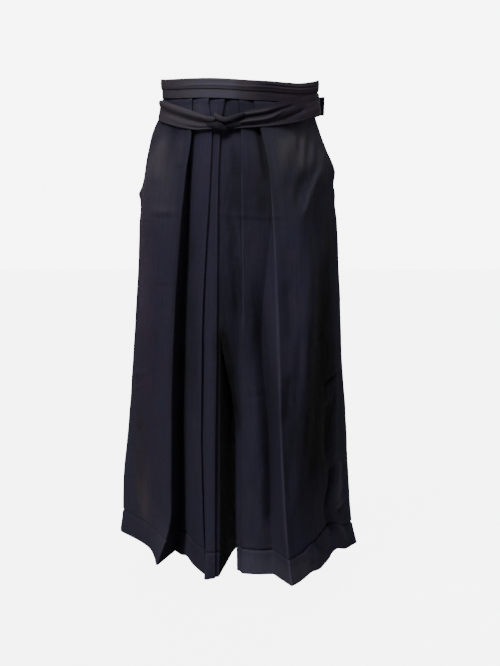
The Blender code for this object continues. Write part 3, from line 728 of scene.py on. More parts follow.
# A thin closed shell: the grid moved half a wall out and half a wall (or more) in, joined at the rim.
def makeShell(name, grid, wall, material, inside=0.0, edge=0.0, fade=0.0, warm=0.0, grey=0.0, closed=False,
              flip=False, turned=False):
    normals = gridNormals(grid)
    if closed:
        wrapped = np.concatenate([grid[:, -2:-1], grid, grid[:, 1:2]], axis=1)
        normals = gridNormals(wrapped)[:, 1:-1]
        normals[:, -1] = normals[:, 0]
    if flip:
        normals = -normals
    inside = np.broadcast_to(np.asarray(inside, float), grid.shape[:2])[..., None]
    outer = grid + normals * (wall / 2)
    inner = grid - normals * (wall / 2 + inside)
    rows, columns = grid.shape[:2]
    width = columns - 1 if closed else columns
    points = np.concatenate([outer[:, :width].reshape(-1, 3), inner[:, :width].reshape(-1, 3)])
    index = np.arange(rows * width).reshape(rows, width)
    if closed:
        index = np.concatenate([index, index[:, :1]], axis=1)
    far = index + rows * width
    sheets = [quadsOf(index), quadsOf(far)[:, ::-1]]
    rims = [(index[0], far[0], -1), (index[-1], far[-1], 1)]
    if not closed:
        rims += [(index[:, 0], far[:, 0], 1), (index[:, -1], far[:, -1], -1)]
    for near, away, turn in rims:
        rim = np.stack([near[:-1], near[1:], away[1:], away[:-1]], axis=-1)
        sheets.append(rim[:, ::turn])
    quads = np.concatenate(sheets)
    if flip:
        quads = quads[:, ::-1]
    uv = surfaceMap(grid)[:, :width].reshape(-1, 2)[:, ::-1 if turned else 1]
    marks = (np.tile(np.broadcast_to(mark, (rows, columns))[:, :width].ravel(), 2)
             for mark in (edge, fade, warm, grey))
    return makeMesh(name, points, quads, np.concatenate([uv, uv]), material, *marks)


# Stitches: short lengths of thread, sunk in the cloth at both ends. Each is three rings of four
# corners along its length, closed at the ends. "uneven" is a share of the gap between them.
sewing = dict(sunk=-0.14, endSize=0.5, uneven=0.12)


def makeStitches(name, lines):
    rings = []
    for line in lines:
        points, normals, long, gap = line["points"], line["normals"], line["long"], line["gap"]
        at = runAlong(points)
        middles = np.arange(long / 2, at[-1] - long / 2 + 1e-6, long + gap)
        middles = middles + sewing["uneven"] * gap * ripple(middles, 0 * middles, 3, 3, 61)
        stations = middles[:, None] + np.array([-0.5, 0.0, 0.5]) * long

        def sample(values):
            return np.stack([np.interp(stations, at, values[:, k]) for k in range(3)], axis=-1)

        place, up = sample(points), unit(sample(normals))
        way = unit(place[:, 2] - place[:, 0])[:, None]
        side = unit(np.cross(way, up))
        wide, high = line.get("wide", 0.5) / 2, line.get("high", 0.34)
        lift = np.array([sewing["sunk"], high, sewing["sunk"]])[:, None]
        size = np.array([sewing["endSize"], 1.0, sewing["endSize"]])[:, None]
        corners = [side * wide * size, -up * high * 0.5 * size, -side * wide * size, up * high * 0.5 * size]
        rings.append(np.stack([place + up * lift + corner for corner in corners], axis=2))
    rings = np.concatenate(rings)
    start = 12 * np.arange(len(rings))[:, None]
    faces = [[4 * s + k, 4 * s + (k + 1) % 4, 4 * s + 4 + (k + 1) % 4, 4 * s + 4 + k]
             for s in range(2) for k in range(4)]
    faces += [[3, 2, 1, 0], [8, 9, 10, 11]]
    quads = (start[:, :, None] + np.array(faces)[None]).reshape(-1, 4)
    points = rings.reshape(-1, 3)
    first = points[quads[0]]
    facing = np.cross(first[1] - first[0], first[2] - first[1]) @ (first.mean(0) - points[:12].mean(0))
    print(name, len(rings), "stitches")
    quads = quads if facing > 0 else quads[:, ::-1]
    return makeMesh(name, points, quads, np.zeros((len(points), 2)), thread, sharp=180.0)


# A line on a grid's outer face, at row and column places between its points.
def lineOn(grid, rows, columns, wall, flip, **size):
    normals = gridNormals(grid) * (-1 if flip else 1)
    rows, columns = np.broadcast_arrays(np.asarray(rows, float), np.asarray(columns, float))
    i = np.clip(np.floor(rows).astype(int), 0, grid.shape[0] - 2)
    j = np.clip(np.floor(columns).astype(int), 0, grid.shape[1] - 2)
    u, v = (rows - i)[:, None], (columns - j)[:, None]
    normals = unit(blendAt(normals, i, j, u, v))
    return dict(points=blendAt(grid, i, j, u, v) + normals * (wall / 2), normals=normals, **size)


pieces = {}


def dress(piece, node):
    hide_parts(node)
    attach(piece, "root")
    pieces[piece.name] = piece


# How near each point is to a pressed edge, as exp(-(distance / width)^2), by each fold's own wear and painted
# highlight.
# It comes in over "ends" at both ends, and not before "below".
def edgeWearAndSheen(grid, outward, wearAndSheenByFold, width=2.0, ends=60, below=-35):
    run = runAlong(grid[..., :2], 1)
    wearAndSheen = np.zeros(grid.shape[:2])
    for column, (strength, first, last) in zip(outward, wearAndSheenByFold):
        lasts = softStep((first - grid[..., 2]) / ends) * softStep((grid[..., 2] - last) / ends)
        wearAndSheen = np.maximum(wearAndSheen, strength * lasts * np.exp(-((run - run[:, column:column + 1]) / width) ** 2))
    uneven = 0.75 + 0.25 * ripple(grid[..., 2], grid[..., 0], 40, 30, 21)
    return wearAndSheen * uneven * softStep((below - grid[..., 2]) / 40)


# The pleated panels, with the same seams and lines as the solids. x is across and y forward (-Y is
# the front), at each level from the band to the hem.
sideRight = dict(x=(-145, -177, -207, -230, -247, -266, -272), y=(-30, -10, 20, 42, 52, 63, 72))
sideLeft = dict(x=(141, 161, 184.5, 200, 210, 218, 230), y=(-38, -6, 28, 40, 50, 57, 64))
frontInnerRight = dict(x=(-4, -9, -12, -9, -6.6, -6, -5), y=(-105.5, -118.5, -130, -155, -170, -181, -189))
frontInnerLeft = dict(x=(-4, -9, -12, -9, 15.5, 17.3, 21), y=(-105.5, -118.5, -130, -155, -134, -140, -145))
backInnerRight = dict(x=(0, 0, 0, 0, -10, -12, -13), y=(115, 119, 124, 132, 142, 148, 152))
backInnerLeft = dict(x=(0, 0, 0, 0, 22, 25, 28), y=(115, 119, 124, 132, 142, 148, 152))
backSideRight = dict(x=(-112, -146) + sideRight["x"][slitLevel:], y=(88, 62) + sideRight["y"][slitLevel:])
backSideLeft = dict(x=(112, 140) + sideLeft["x"][slitLevel:], y=(88, 58) + sideLeft["y"][slitLevel:])

frontRight = [
    dict(name="thigh", kind="soft", x=(-110, -131, -162, -178, -184, -187, -177),
         y=(-75, -74, -70, -52, -46, -40, -33)),
    dict(name="pleat 1", kind="fold", x=(-72, -72, -83, -105, -110, -111, -136),
         y=(-98.4, -112, -120, -130, -134, -136, -134)),
    dict(name="under 1", kind="fold", x=(-86, -86, -85, -98, -101, -102, -120),
         y=(-84, -90, -84, -84, -82, -78, -48)),
    dict(name="shelf 1", kind="soft", x=(-56, -50, -57, -72, -75, -75, -78),
         y=(-103, -115.5, -124, -128, -130, -128, -110)),
    dict(name="pleat 2", kind="fold", x=(-38, -30, -32, -45, -44.5, -40, -34),
         y=(-108.4, -122, -133, -154, -165, -172, -177)),
    dict(name="under 2", kind="tucked", tuck=(13, 12, 12, 10, 9, 5, 3.4),
         drop=(4.4, 4.4, 4.6, 4.8, 4.8, 4.2, 3.6)),
    dict(name="strip", kind="soft", x=(-22, -22, -24, -30, -30, -28, -25),
         y=(-109.2, -121.8, -132.4, -156, -169, -183, -207)),
    dict(name="pleat 3", kind="fold", x=(-8, -14, -16.5, -15, -14.5, -14, -11),
         y=(-111, -124, -136, -162, -177, -188, -197)),
    dict(name="under 3", kind="tucked", tuck=(7, 6, 6, 6, 6, 5, 5), drop=(4.4, 4.4, 4.4, 4.4, 4.4, 4.4, 4.4)),
]
frontLeft = [
    dict(name="hip", kind="soft", x=(109, 126, 149, 172, 182, 188, 192),
         y=(-77, -68, -58, -50, -44, -38, -32)),
    dict(name="outer", kind="soft", x=(84, 98, 124, 151, 156, 160, 166),
         y=(-93, -99, -104, -115, -124, -134, -140)),
    dict(name="pleat 5", kind="fold", x=(46, 60.5, 79, 100, 109, 120.5, 132),
         y=(-106.6, -118, -130, -158, -182, -203, -213)),
    dict(name="under 5", kind="fold", x=(62, 76, 86, 66, 82, 88, 91),
         y=(-96, -104, -112, -136, -146, -152, -157)),
    dict(name="shelf 5", kind="soft", x=(38, 44, 52, 50, 60, 64, 65),
         y=(-106.3, -118, -126, -147, -156, -161, -164)),
    dict(name="pleat 4", kind="fold", x=(20, 25, 27, 33, 33, 33, 34),
         y=(-111, -123.5, -134, -151, -158, -160, -163)),
    dict(name="under 4", kind="fold", x=(31, 36, 37.5, 25, 24, 25, 28),
         y=(-104.5, -117.5, -127, -146, -143, -147, -151)),
    dict(name="centre", kind="soft", x=(8, 11, 12, 8, 20, 21, 24.5),
         y=(-109.8, -122.4, -131.5, -151, -138.5, -143.5, -148)),
]
backUnder = dict(name="back under", kind="tucked", tuck=(18, 18, 18, 16, 14, 10, 8),
                 drop=(4.4, 4.4, 5, 6, 7, 8, 9))
backRight = [
    dict(name="quarter", kind="soft", x=(-80, -104, -148, -168, -182, -192, -198),
         y=(107, 112, 104, 116, 128, 136, 142)),
    dict(name="back pleat", kind="fold", x=(-40, -42, -46, -52, -56, -60, -64),
         y=(118, 125, 131, 140, 148, 154, 159)),
    backUnder,
]
backLeft = [
    dict(name="quarter", kind="soft", x=(80, 100, 130, 146, 158, 166, 172),
         y=(107, 112, 106, 116, 126, 134, 140)),
    dict(name="back pleat", kind="fold", x=(40, 42, 46, 52, 60, 66, 72),
         y=(118, 125, 131, 140, 148, 154, 159)),
    backUnder,
]
# How high the panels reach inside the band and the board, and each panel's "room" there: 1 is the
# waist's own oval. "steps" are the columns of each smooth run, and the last entry is each outward fold's
# pale edge, part wear and part painted highlight, strongest on folds that face the light: how strong,
# and the heights where it starts and ends.
frontTop, backTop = 22.0, 8.0
panels = [
    dict(name="hakamaFrontRight", node="Front_Right", side=right, seam=sideRight, lines=frontRight,
         inner=frontInnerRight, top=frontTop, room=1.01, spin=1, steps=(56, 24, 14, 7),
         wearAndSheen=((0.15, -30, -950), (0.08, -30, -950), (0.2, -30, -950))),
    dict(name="hakamaFrontLeft", node="Front_Left", side=left, seam=sideLeft, lines=frontLeft,
         inner=frontInnerLeft, top=frontTop, room=1.01, spin=-1, steps=(76, 18, 22),
         wearAndSheen=((0.6, -140, -1000), (0.42, -90, -460))),
    dict(name="hakamaBackRight", node="Back_Right", side=right, seam=backSideRight, lines=backRight,
         inner=backInnerRight, top=backTop, room=1.045, spin=-1, steps=(60, 20), wearAndSheen=((0.5, -30, -1000),)),
    dict(name="hakamaBackLeft", node="Back_Left", side=left, seam=backSideLeft, lines=backLeft,
         inner=backInnerLeft, top=backTop, room=1.045, spin=1, steps=(60, 20), wearAndSheen=((0.5, -30, -1000),)),
]


# Cloth is doubled inside the hem turn.
def hemInside(grid):
    return cloth["hemWall"] * softStep((hemLine(grid[..., 0], grid[..., 1]) - grid[..., 2]) / 2.5)


# The side edge stands out at the foot of each slit, where the front and back are tacked together.
flicks = {right: dict(height=(-166, -132, -200), spread=(9, 16, 14), reach=(4.6, -1.2, -1.0)),
          left: dict(height=(-112, -152, -190), spread=(15, 13, 18), reach=(2.6, -3.0, -1.8))}
flickWidth = 26


def flickSides(grid, side):
    flick = flicks[side]
    push = sum(r * np.exp(-((grid[..., 2] - h) / w) ** 2)
               for h, w, r in zip(flick["height"], flick["spread"], flick["reach"]))
    moved = grid.copy()
    moved[..., 0] += push * np.exp(-(runAlong(grid, 1) / flickWidth) ** 2) * (1 if side == left else -1)
    return moved


# The hem is not level: each place, across and forward, lifts it or lets it down over the cloth's
# lowest part.
hemLifts = [
    heap(160, -146, 14, 34, 9.5), heap(182, -95, 12, 30, 4.0), heap(195, -30, 20, 42, 14.0),
    heap(-90, -115, 15, 40, 8.0), heap(-10, 150, 40, 170, -20.0),
]
liftFrom, liftOver = 260, 240      # how far above the hem a lift starts, and over what height it grows


def liftHem(grid):
    grows = softStep((levelHeights(centre)[-1] + liftFrom - grid[..., 2]) / liftOver)
    moved = grid.copy()
    moved[..., 2] += heaps(grid[..., :2], hemLifts) * grows
    return moved


# Sizes of each stitch and the space after it. The edge row runs "inset" from the edge, and the tacks
# cross the seam just over the foot of the slit.
hemStitch = dict(long=1.8, gap=6.5, wide=0.55)
edgeStitch = dict(long=2.4, gap=2.2, wide=0.5)
tackStitch = dict(long=7.0, gap=50.0, wide=0.8, high=0.5)
edgeRow = dict(inset=4.5, top=-16, overFoot=6)
tackRows = dict(overFoot=(3.0, 4.3, 5.6), reach=(1.2, 9.2))


def panelStitches(grid, top, side, flip, frontSide):
    heights = rowHeights(top)
    rowsDown = np.arange(len(heights))
    hem = levelHeights(centre)[-1] + cloth["hemTurn"]
    columns = np.arange(2.0, grid.shape[1] - 2.0, 0.5)
    across = columns.astype(int)
    hemRow = np.interp(-hem, -heights, rowsDown)
    caught = grid[int(round(hemRow))][across]
    climb = hemLine(caught[:, 0], caught[:, 1]) - hem
    fineStep = (cloth["fineAbove"] + cloth["fineBelow"]) / (cloth["fineRows"] - 1)
    lines = [lineOn(grid, hemRow - climb / fineStep, columns, cloth["wall"], flip, **hemStitch)]
    step = np.linalg.norm(grid[:, 1] - grid[:, 0], axis=-1)
    foot = levels["slit"][side]
    slitRows = rowsDown[(heights < edgeRow["top"]) & (heights > foot + edgeRow["overFoot"])]
    lines.append(lineOn(grid, slitRows, edgeRow["inset"] / step[slitRows], cloth["wall"], flip, **edgeStitch))
    if frontSide:
        for drop in tackRows["overFoot"]:
            row = np.interp(drop - foot, -heights, rowsDown)
            reach = np.linspace(*tackRows["reach"], 9) / step[int(row)]
            lines.append(lineOn(grid, row + 0 * reach, reach, cloth["wall"], flip, **tackStitch))
    return lines


for panel in panels:
    grid, outward = panelGrid(panel["side"], panel["seam"], panel["lines"], panel["inner"],
                              panel["top"], panel["room"], panel["spin"], panel["steps"])
    grid = flickSides(grid, panel["side"])
    relief, creaseShading = creasesOf(grid)
    grid = liftHem(drapeCloth(grid, relief))
    facing = gridNormals(grid)[len(grid) // 2, 5]
    outwards = grid[len(grid) // 2, 5, :2] @ facing[:2] > 0
    # fade: painted light and painted shade from the broad places and the creases. The pale fold edges are
    # part wear and part painted highlight.
    fade = dyeAndShadeField(grid, frontPaintedShading, backPaleAndDark) + creaseShading
    piece = makeShell(panel["name"], grid, cloth["wall"], hakamaCloth, hemInside(grid),
                      edgeWearAndSheen(grid, outward, panel["wearAndSheen"]), fade, dyeAndShadeField(grid, frontWarms, backWarms),
                      dyeAndShadeField(grid, frontGreys, backGreys), flip=not outwards)
    dress(piece, panel["node"])
    sewn = makeStitches(panel["name"] + "Stitches", panelStitches(
        grid, panel["top"], panel["side"], not outwards, panel["node"].startswith("Front")))
    dress(sewn, panel["node"])
    print(panel["name"], "rows and columns", grid.shape[:2])

# The inner leg walls, each with a slow wave across it that is still at the seams.
gussets = (
    dict(name="gussetRight", node="Gusset_Right", front=frontInnerRight, back=backInnerRight, out=-1),
    dict(name="gussetLeft", node="Gusset_Left", front=frontInnerLeft, back=backInnerLeft, out=1),
)
# The inner leg walls are painted near black all over: painted shade for the dark gap between the legs.
gussetWave, gussetPaintedShade = 1.4, -1.9
for gusset in gussets:
    grid = gussetGrid(gusset["front"], gusset["back"], gusset["out"])
    still = np.sin(np.linspace(0, math.pi, grid.shape[1]))
    grid[..., 0] += gussetWave * ripple(grid[..., 1], grid[..., 2], 45, 130, 31) * still * gusset["out"]
    grid = liftHem(grid)
    facing = gridNormals(grid)[len(grid) // 2, 5]
    piece = makeShell(gusset["name"], grid, cloth["wall"], hakamaCloth, hemInside(grid), fade=gussetPaintedShade,
                      flip=facing[0] * gusset["out"] > 0)
    dress(piece, gusset["node"])
print("panels and gussets made")

# The waist: band, wound tie, board and ties.
bandShape = dict(low=0.0, high=32.0, out=3.0, wall=1.4, angles=(-96, 94))
wrapShape = dict(low=17.0, high=35.5, out=5.8, wall=1.0, tuckIn=0.75)
boardShape = dict(low=-15.0, high=62.0, out=9.6, wall=4.0, halfLow=45.0, halfHigh=32.0, bevel=1.2)
# Lines where a layer's edge or a lengthwise fold shows on the wound tie: width, depth, then angle
# and share along the path. The share is 0 at its lower edge and 1 at its upper edge.
wrapLines = [
    crease(0.10, 0.8, (-40, 0.30), (0, 0.34), (30, 0.30)),
    crease(0.08, 1.0, (8, 0.42), (40, 0.36), (84, 0.30)),
    crease(0.07, 0.9, (20, 0.74), (50, 0.68), (84, 0.60)),
    crease(0.06, 0.5, (-60, 0.80), (-20, 0.82), (10, 0.80)),
    crease(0.08, -1.0, (14, 0.56), (50, 0.52), (90, 0.47)),
    crease(0.07, 0.7, (-170, 0.60), (-130, 0.50), (-95, 0.55)),
    crease(0.07, 0.7, (100, 0.45), (140, 0.55), (175, 0.50)),
]


# Creases along the waist's pieces: a path is the share of the way up at each angle.
def lineRelief(angle, share, lines, ends=12):
    relief = np.zeros(np.broadcast(angle, share).shape)
    for line in lines:
        angles, shares = zip(*line["path"])
        first, last = angles[0], angles[-1]
        at = smooth(angles, shares, np.clip(angle, first, last).ravel()).reshape(angle.shape)
        fade = softStep((angle - first) / ends) * softStep((last - angle) / ends)
        relief = relief + line["depth"] * fade * np.exp(-((share - at) / line["width"]) ** 2)
    return relief


# Round the waist at one distance out, lower and upper edge rolled in a little.
def hoopGrid(angles, shape, stepsUp, lines=(), bulge=0.4):
    angle = angles[None, :] + np.zeros((stepsUp + 1, 1))
    share = np.linspace(0, 1, stepsUp + 1)[:, None] + 0 * angle
    height = shape["low"] + (shape["high"] - shape["low"]) * share + bandRise(angle)
    height = height + 0.5 * ripple(angle, share, 9, 4, 17)
    out = shape["out"] + lineRelief(angle, share, lines) + bulge * (1 - (2 * share - 1) ** 4) - bulge
    out = out - shape.get("tuckIn", 0.0) * (1 - share) ** 4
    return waistPoint(angle, out, height)


def waistMark(angle, points):
    return np.interp(angle, *zip(*points))[None, :]


# Painted light and shade round the band and the wound tie: paler where light falls toward the wearer's right
# of the front, darker where shade falls toward the wearer's left.
bandPaintedShading = ((-180, 0.1), (-80, 0.4), (-40, 0.45), (-14, 0.75), (2, 0.65), (9, 0.1), (16, -0.4), (26, -0.8),
            (40, -0.6), (56, -0.3), (90, -0.15), (180, 0.0))
bandWarm = ((-180, 0.4), (-60, 0.7), (-34, 0.2), (-22, -0.6), (4, -0.7), (14, 0.4), (60, 0.9), (180, 0.4))
bandAngles = np.linspace(*bandShape["angles"], 260)
bandGrid = hoopGrid(bandAngles, bandShape, 12)
band = makeShell("frontBand", bandGrid, bandShape["wall"], tieCloth, fade=waistMark(bandAngles, bandPaintedShading),
                 warm=waistMark(bandAngles, bandWarm), flip=True, turned=True)
dress(band, "Front_Band")
wrapAngles = np.linspace(-180, 180, 481)
wrapGrid = hoopGrid(wrapAngles, wrapShape, 16, wrapLines)
wrap = makeShell("woundTie", wrapGrid, wrapShape["wall"], tieCloth, fade=waistMark(wrapAngles, bandPaintedShading),
                 warm=waistMark(wrapAngles, bandWarm), closed=True, flip=True, turned=True)
dress(wrap, "Front_Tie_Wrap")

share = np.linspace(0, 1, 31)[:, None]
acrossBoard = np.linspace(-1, 1, 101)[None, :]
boardHalf = boardShape["halfLow"] + (boardShape["halfHigh"] - boardShape["halfLow"]) * share
boardAngle = 180 + boardHalf * acrossBoard
boardHeight = boardShape["low"] + (boardShape["high"] - boardShape["low"]) * share + 0 * acrossBoard
boardGrid = waistPoint(boardAngle, boardShape["out"] + 0 * boardAngle, boardHeight)
board = makeShell("backBoard", boardGrid, boardShape["wall"], boardCloth, flip=True)
bevel = board.modifiers.new("softEdge", "BEVEL")
bevel.width, bevel.segments = boardShape["bevel"] * mm, 3
bevel.limit_method, bevel.angle_limit = "ANGLE", math.radians(50)
dress(board, "Back_Board")

# Rear ties: angle from the front centre toward the wearer's left, edges' heights and how far out.
rearTieRight = dict(
    angle=(-142, -130, -118, -95, -75, -60, -46, -31, -19, -10, -4.5),
    high=(27, 27, 25, 18, 12.5, 7, -3, -16, -28, -37, -41),
    low=(-15, -15, -16, -19, -23, -33, -42, -52, -57, -57, -57),
    outHigh=(12.8, 12.8, 7.6, 4.2, 4.4, 6.2, 8.0, 10, 13, 19, 21),
    outLow=(12.8, 12.8, 10.4, 10, 12, 14, 15, 15.5, 17, 20, 21))
rearTieLeft = dict(
    angle=(-4.5, 1, 10, 24, 37, 51, 66, 81, 100, 118, 130, 142),
    high=(-42, -36, -27, -16, -5, 4, 12, 20, 25, 27, 27, 27),
    low=(-60, -58, -56, -53, -48, -40, -29, -18, -16, -16, -15, -15),
    outHigh=(21, 19, 13, 11, 8.4, 6.8, 5.4, 4.8, 5.2, 8.4, 12.8, 12.8),
    outLow=(21, 20, 17, 16.5, 16, 15, 12.5, 10.5, 10, 10.4, 12.8, 12.8))
tuckedEnd = dict(angle=(112, 121, 130, 139), high=(24, 25, 25, 25), low=(-13, -11, -10, -10),
                 outHigh=(25, 18, 15, 14.8), outLow=(24, 18, 15, 14.8))
rearRightFolds = [
    crease(0.18, 4.8, (-88, 0.92), (-64, 0.86), (-46, 0.82), (-31, 0.80), (-19, 0.82), (-4, 0.90)),
    crease(0.14, -2.8, (-80, 0.58), (-60, 0.52), (-40, 0.48), (-4, 0.46)),
    crease(0.12, 1.0, (-56, 0.34), (-36, 0.30), (-4, 0.24)),
    crease(0.08, -1.4, (-34, 0.10), (-22, 0.10), (-4, 0.12)),
]
rearLeftFolds = [
    crease(0.10, 3.0, (-4, 0.88), (8, 0.86), (16, 0.80), (25, 0.76), (40, 0.76)),
    crease(0.08, -2.8, (-4, 0.60), (8, 0.60), (20, 0.58), (34, 0.62), (52, 0.74)),
    crease(0.08, 3.2, (2, 0.38), (14, 0.37), (23, 0.36), (28, 0.40), (34, 0.50), (42, 0.66)),
    crease(0.11, -3.2, (0, 0.14), (14, 0.14), (30, 0.16), (48, 0.30), (62, 0.46)),
    crease(0.12, 0.9, (40, 0.16), (60, 0.22), (84, 0.30)),
    crease(0.10, -0.7, (56, 0.74), (72, 0.66), (95, 0.60)),
]
# Painted shading on the left tie: painted shade in its hollows, where it lies in shade, and painted highlight
# on its two ridges.
rearLeftPaintedShading = [
    crease(0.07, 1.2, (-4, 0.88), (8, 0.86), (16, 0.80), (25, 0.76), (34, 0.74)),
    crease(0.06, 1.3, (2, 0.38), (14, 0.37), (23, 0.36), (28, 0.40), (34, 0.50), (42, 0.66)),
    crease(0.24, -0.4, (26, 0.30), (40, 0.34), (56, 0.40)),
    crease(0.05, 0.7, (-4, 0.02), (20, 0.02), (60, 0.02)),
]
# Painted light along the right tie, and painted shade along the left tie where it lies in shade beside the
# knot.
rightTiePaintedLight = ((-142, 0.1), (-90, 0.35), (-40, 0.25), (-4, 0.0))
leftTiePaintedShade = ((-4, -0.8), (6, -1.1), (40, -1.2), (52, -0.9), (64, -0.55), (100, -0.3), (142, -0.1))


def tieGrid(table, stepsAlong, stepsUp, folds):
    angle = np.linspace(table["angle"][0], table["angle"][-1], stepsAlong + 1)
    column = {key: smooth(table["angle"], table[key], angle) for key in table if key != "angle"}
    share = np.linspace(0, 1, stepsUp + 1)[:, None] + 0 * angle[None, :]
    angle = angle[None, :] + 0 * share
    height = column["low"] + (column["high"] - column["low"]) * share
    out = column["outLow"] + (column["outHigh"] - column["outLow"]) * share
    out = out + lineRelief(angle, share, folds) + 0.3 * ripple(angle, share, 5, 0.4, 9)
    return waistPoint(angle, out, height)


# "plain" is the room left without stitches at each end.
tieWall, tieRows, warmShare = 1.4, 36, 0.8
ties = (
    dict(name="rearTieRight", node="Rear_Tie_Right", shape=rearTieRight, folds=rearRightFolds,
         paintedShading=rightTiePaintedLight, paintedShadingLines=(), steps=300, plain=(6, 19)),
    dict(name="rearTieLeft", node="Rear_Tie_Left", shape=rearTieLeft, folds=rearLeftFolds,
         paintedShading=leftTiePaintedShade, paintedShadingLines=rearLeftPaintedShading, steps=300, plain=(20, 6)),
    # The tucked end is painted dark all over: painted shade, as it lies in shade.
    dict(name="tuckedTieEnd", node="Tucked_Tie_End", shape=tuckedEnd, folds=(),
         paintedShading=((0, -1.2), (180, -1.2)), paintedShadingLines=(), steps=40, plain=None),
)
tieGrids = {}
for tie in ties:
    grid = tieGrids[tie["name"]] = tieGrid(tie["shape"], tie["steps"], tieRows, tie["folds"])
    angle = np.linspace(tie["shape"]["angle"][0], tie["shape"]["angle"][-1], tie["steps"] + 1)
    upward = np.linspace(0, 1, tieRows + 1)[:, None] + 0 * angle
    # Painted shading along each tie and on its lines.
    fade = waistMark(angle, tie["paintedShading"]) + lineRelief(angle + 0 * upward, upward, tie["paintedShadingLines"])
    piece = makeShell(tie["name"], grid, tieWall, tieCloth, fade=fade,
                      warm=waistMark(angle, bandWarm) * warmShare, flip=True, turned=True)
    dress(piece, tie["node"])

waistStitch = dict(long=3.0, gap=2.6, wide=0.5)


# A row of stitches over the grid: rows and columns are each where it starts and ends.
def sewnRow(grid, rows, columns, wall, samples):
    rows, columns = np.linspace(*rows, samples), np.linspace(*columns, samples)
    return lineOn(grid, rows, columns, wall, True, **waistStitch)


bandSewn = [sewnRow(bandGrid, (1, 1), (2, 257), bandShape["wall"], 500)]
dress(makeStitches("frontBandStitches", bandSewn), "Front_Band")
wrapSewn = [sewnRow(wrapGrid, (row, row), (2, 478), wrapShape["wall"], 900) for row in (1.4, 14.6)]
dress(makeStitches("woundTieStitches", wrapSewn), "Front_Tie_Wrap")
for tie in ties:
    if tie["plain"]:
        ends = (tie["plain"][0], tie["steps"] - tie["plain"][1])
        tieSewn = [sewnRow(tieGrids[tie["name"]], (row, row), ends, tieWall, 600) for row in (1.8, 34.2)]
        dress(makeStitches(tie["name"] + "Stitches", tieSewn), tie["node"])
boardSewn = [sewnRow(boardGrid, rows, columns, boardShape["wall"], samples) for rows, columns, samples in (
    ((2.2, 2.2), (5, 95), 200), ((27.8, 27.8), (6, 94), 200),
    ((2.2, 27.8), (5, 6), 60), ((2.2, 27.8), (95, 94), 60))]
dress(makeStitches("backBoardStitches", boardSewn), "Back_Board")

# The knot: a rounded core with the cloth's folds rolled over it. Each roll is an oval carried along
# a line. Steps of the line are across, up and out from the knot's middle.
knot = dict(angle=-4.5, out=23.0, middle=-51.0, half=(11.0, 8.5, 5.5), dents=0.06)
# Each roll's last entry is its painted shading along it, from its first end to its last: painted shade on the
# rolls that lie beneath and to the right, in shade.
knotRolls = [
    dict(line=((-46, 18, -13), (-35, 15, -8.5), (-25, 12.5, -4.5), (-17, 11, -0.5), (-11, 10, 1),
               (-7, 8, -1)),
         wide=(2.5, 4.0, 4.6, 5.2, 5.0, 3.0), thick=(1.6, 2.6, 3.2, 4.0, 4.2, 2.5),
         folds=3, deep=0.06, fade=(0.1, 0.0)),             # left ridge
    dict(line=((-10, 23, -5), (-8, 19, 0), (-3, 14, 4), (4, 10.5, 5.5), (12, 8.5, 4.5), (22, 11, 1),
               (34, 16, -5), (46, 21, -11)),
         wide=(2.0, 3.6, 4.4, 4.8, 4.8, 4.6, 4.2, 3.0), thick=(1.5, 2.6, 3.2, 3.4, 3.2, 2.8, 2.2, 1.4),
         folds=2, deep=0.08, fade=(-0.1, -1.1)),           # over and to the right
    dict(line=((-30, 2, -10), (-19, 2, -4), (-8, 0, 0), (3, -3, 1), (10, -8, -1), (11, -14, -6)),
         wide=(4.0, 6.0, 6.6, 6.0, 4.4, 2.2), thick=(2.0, 3.0, 3.4, 3.2, 2.6, 1.4),
         folds=3, deep=0.08, fade=(-0.4, -1.6)),           # beneath
    dict(line=((2, 0, -2), (14, 0, -2), (26, 1, -6), (40, 2, -13)),
         wide=(4.0, 5.6, 6.0, 4.0), thick=(2.0, 3.0, 2.8, 1.6),
         folds=3, deep=0.08, fade=(-1.1, -1.3)),           # right, lower
]


# An oval tube: middle follows the line, the long axis lies across it in the knot's face, and
# lengthwise folds make the radius swell and dip round the tube.
def rollGrid(roll, alongSteps=72, roundSteps=40):
    line = np.array(roll["line"], float)
    chord = runAlong(line)
    at = np.linspace(0, chord[-1], alongSteps + 1)
    middle = np.stack([smooth(chord, line[:, k], at) for k in range(3)], axis=-1)
    wide, thick = smooth(chord, roll["wide"], at), smooth(chord, roll["thick"], at)
    way = unit(np.gradient(middle, axis=0))
    faceOut = unit(np.stack([middle[:, 0] * 0.02, 0 * at, 1 + 0 * at], axis=-1))
    side = unit(np.cross(faceOut, way))
    rise = unit(np.cross(way, side))
    spin = np.linspace(0, 2 * math.pi, roundSteps + 1)[None, :]
    swell = 1 + roll["deep"] * np.cos(roll["folds"] * spin + 2.4 * (at / at[-1])[:, None] + 0.6)
    close = np.sqrt(np.clip(1 - (2 * np.linspace(0, 1, alongSteps + 1) - 1) ** 8, 0, 1))[:, None, None]
    ring = (side[:, None] * (np.cos(spin) * wide[:, None] * swell)[..., None]
            + rise[:, None] * (np.sin(spin) * thick[:, None] * swell)[..., None])
    return middle[:, None] + ring * close


def knotPlace(local):
    turn = math.radians(knot["angle"])
    middle = waistPoint(np.array(knot["angle"]), knot["out"], np.array(knot["middle"]))
    across = np.array([math.cos(turn), math.sin(turn), 0.0])
    out = np.array([math.sin(turn), -math.cos(turn), 0.0])
    return middle + local[..., :1] * across + local[..., 1:2] * np.array([0, 0, 1.0]) + local[..., 2:] * out


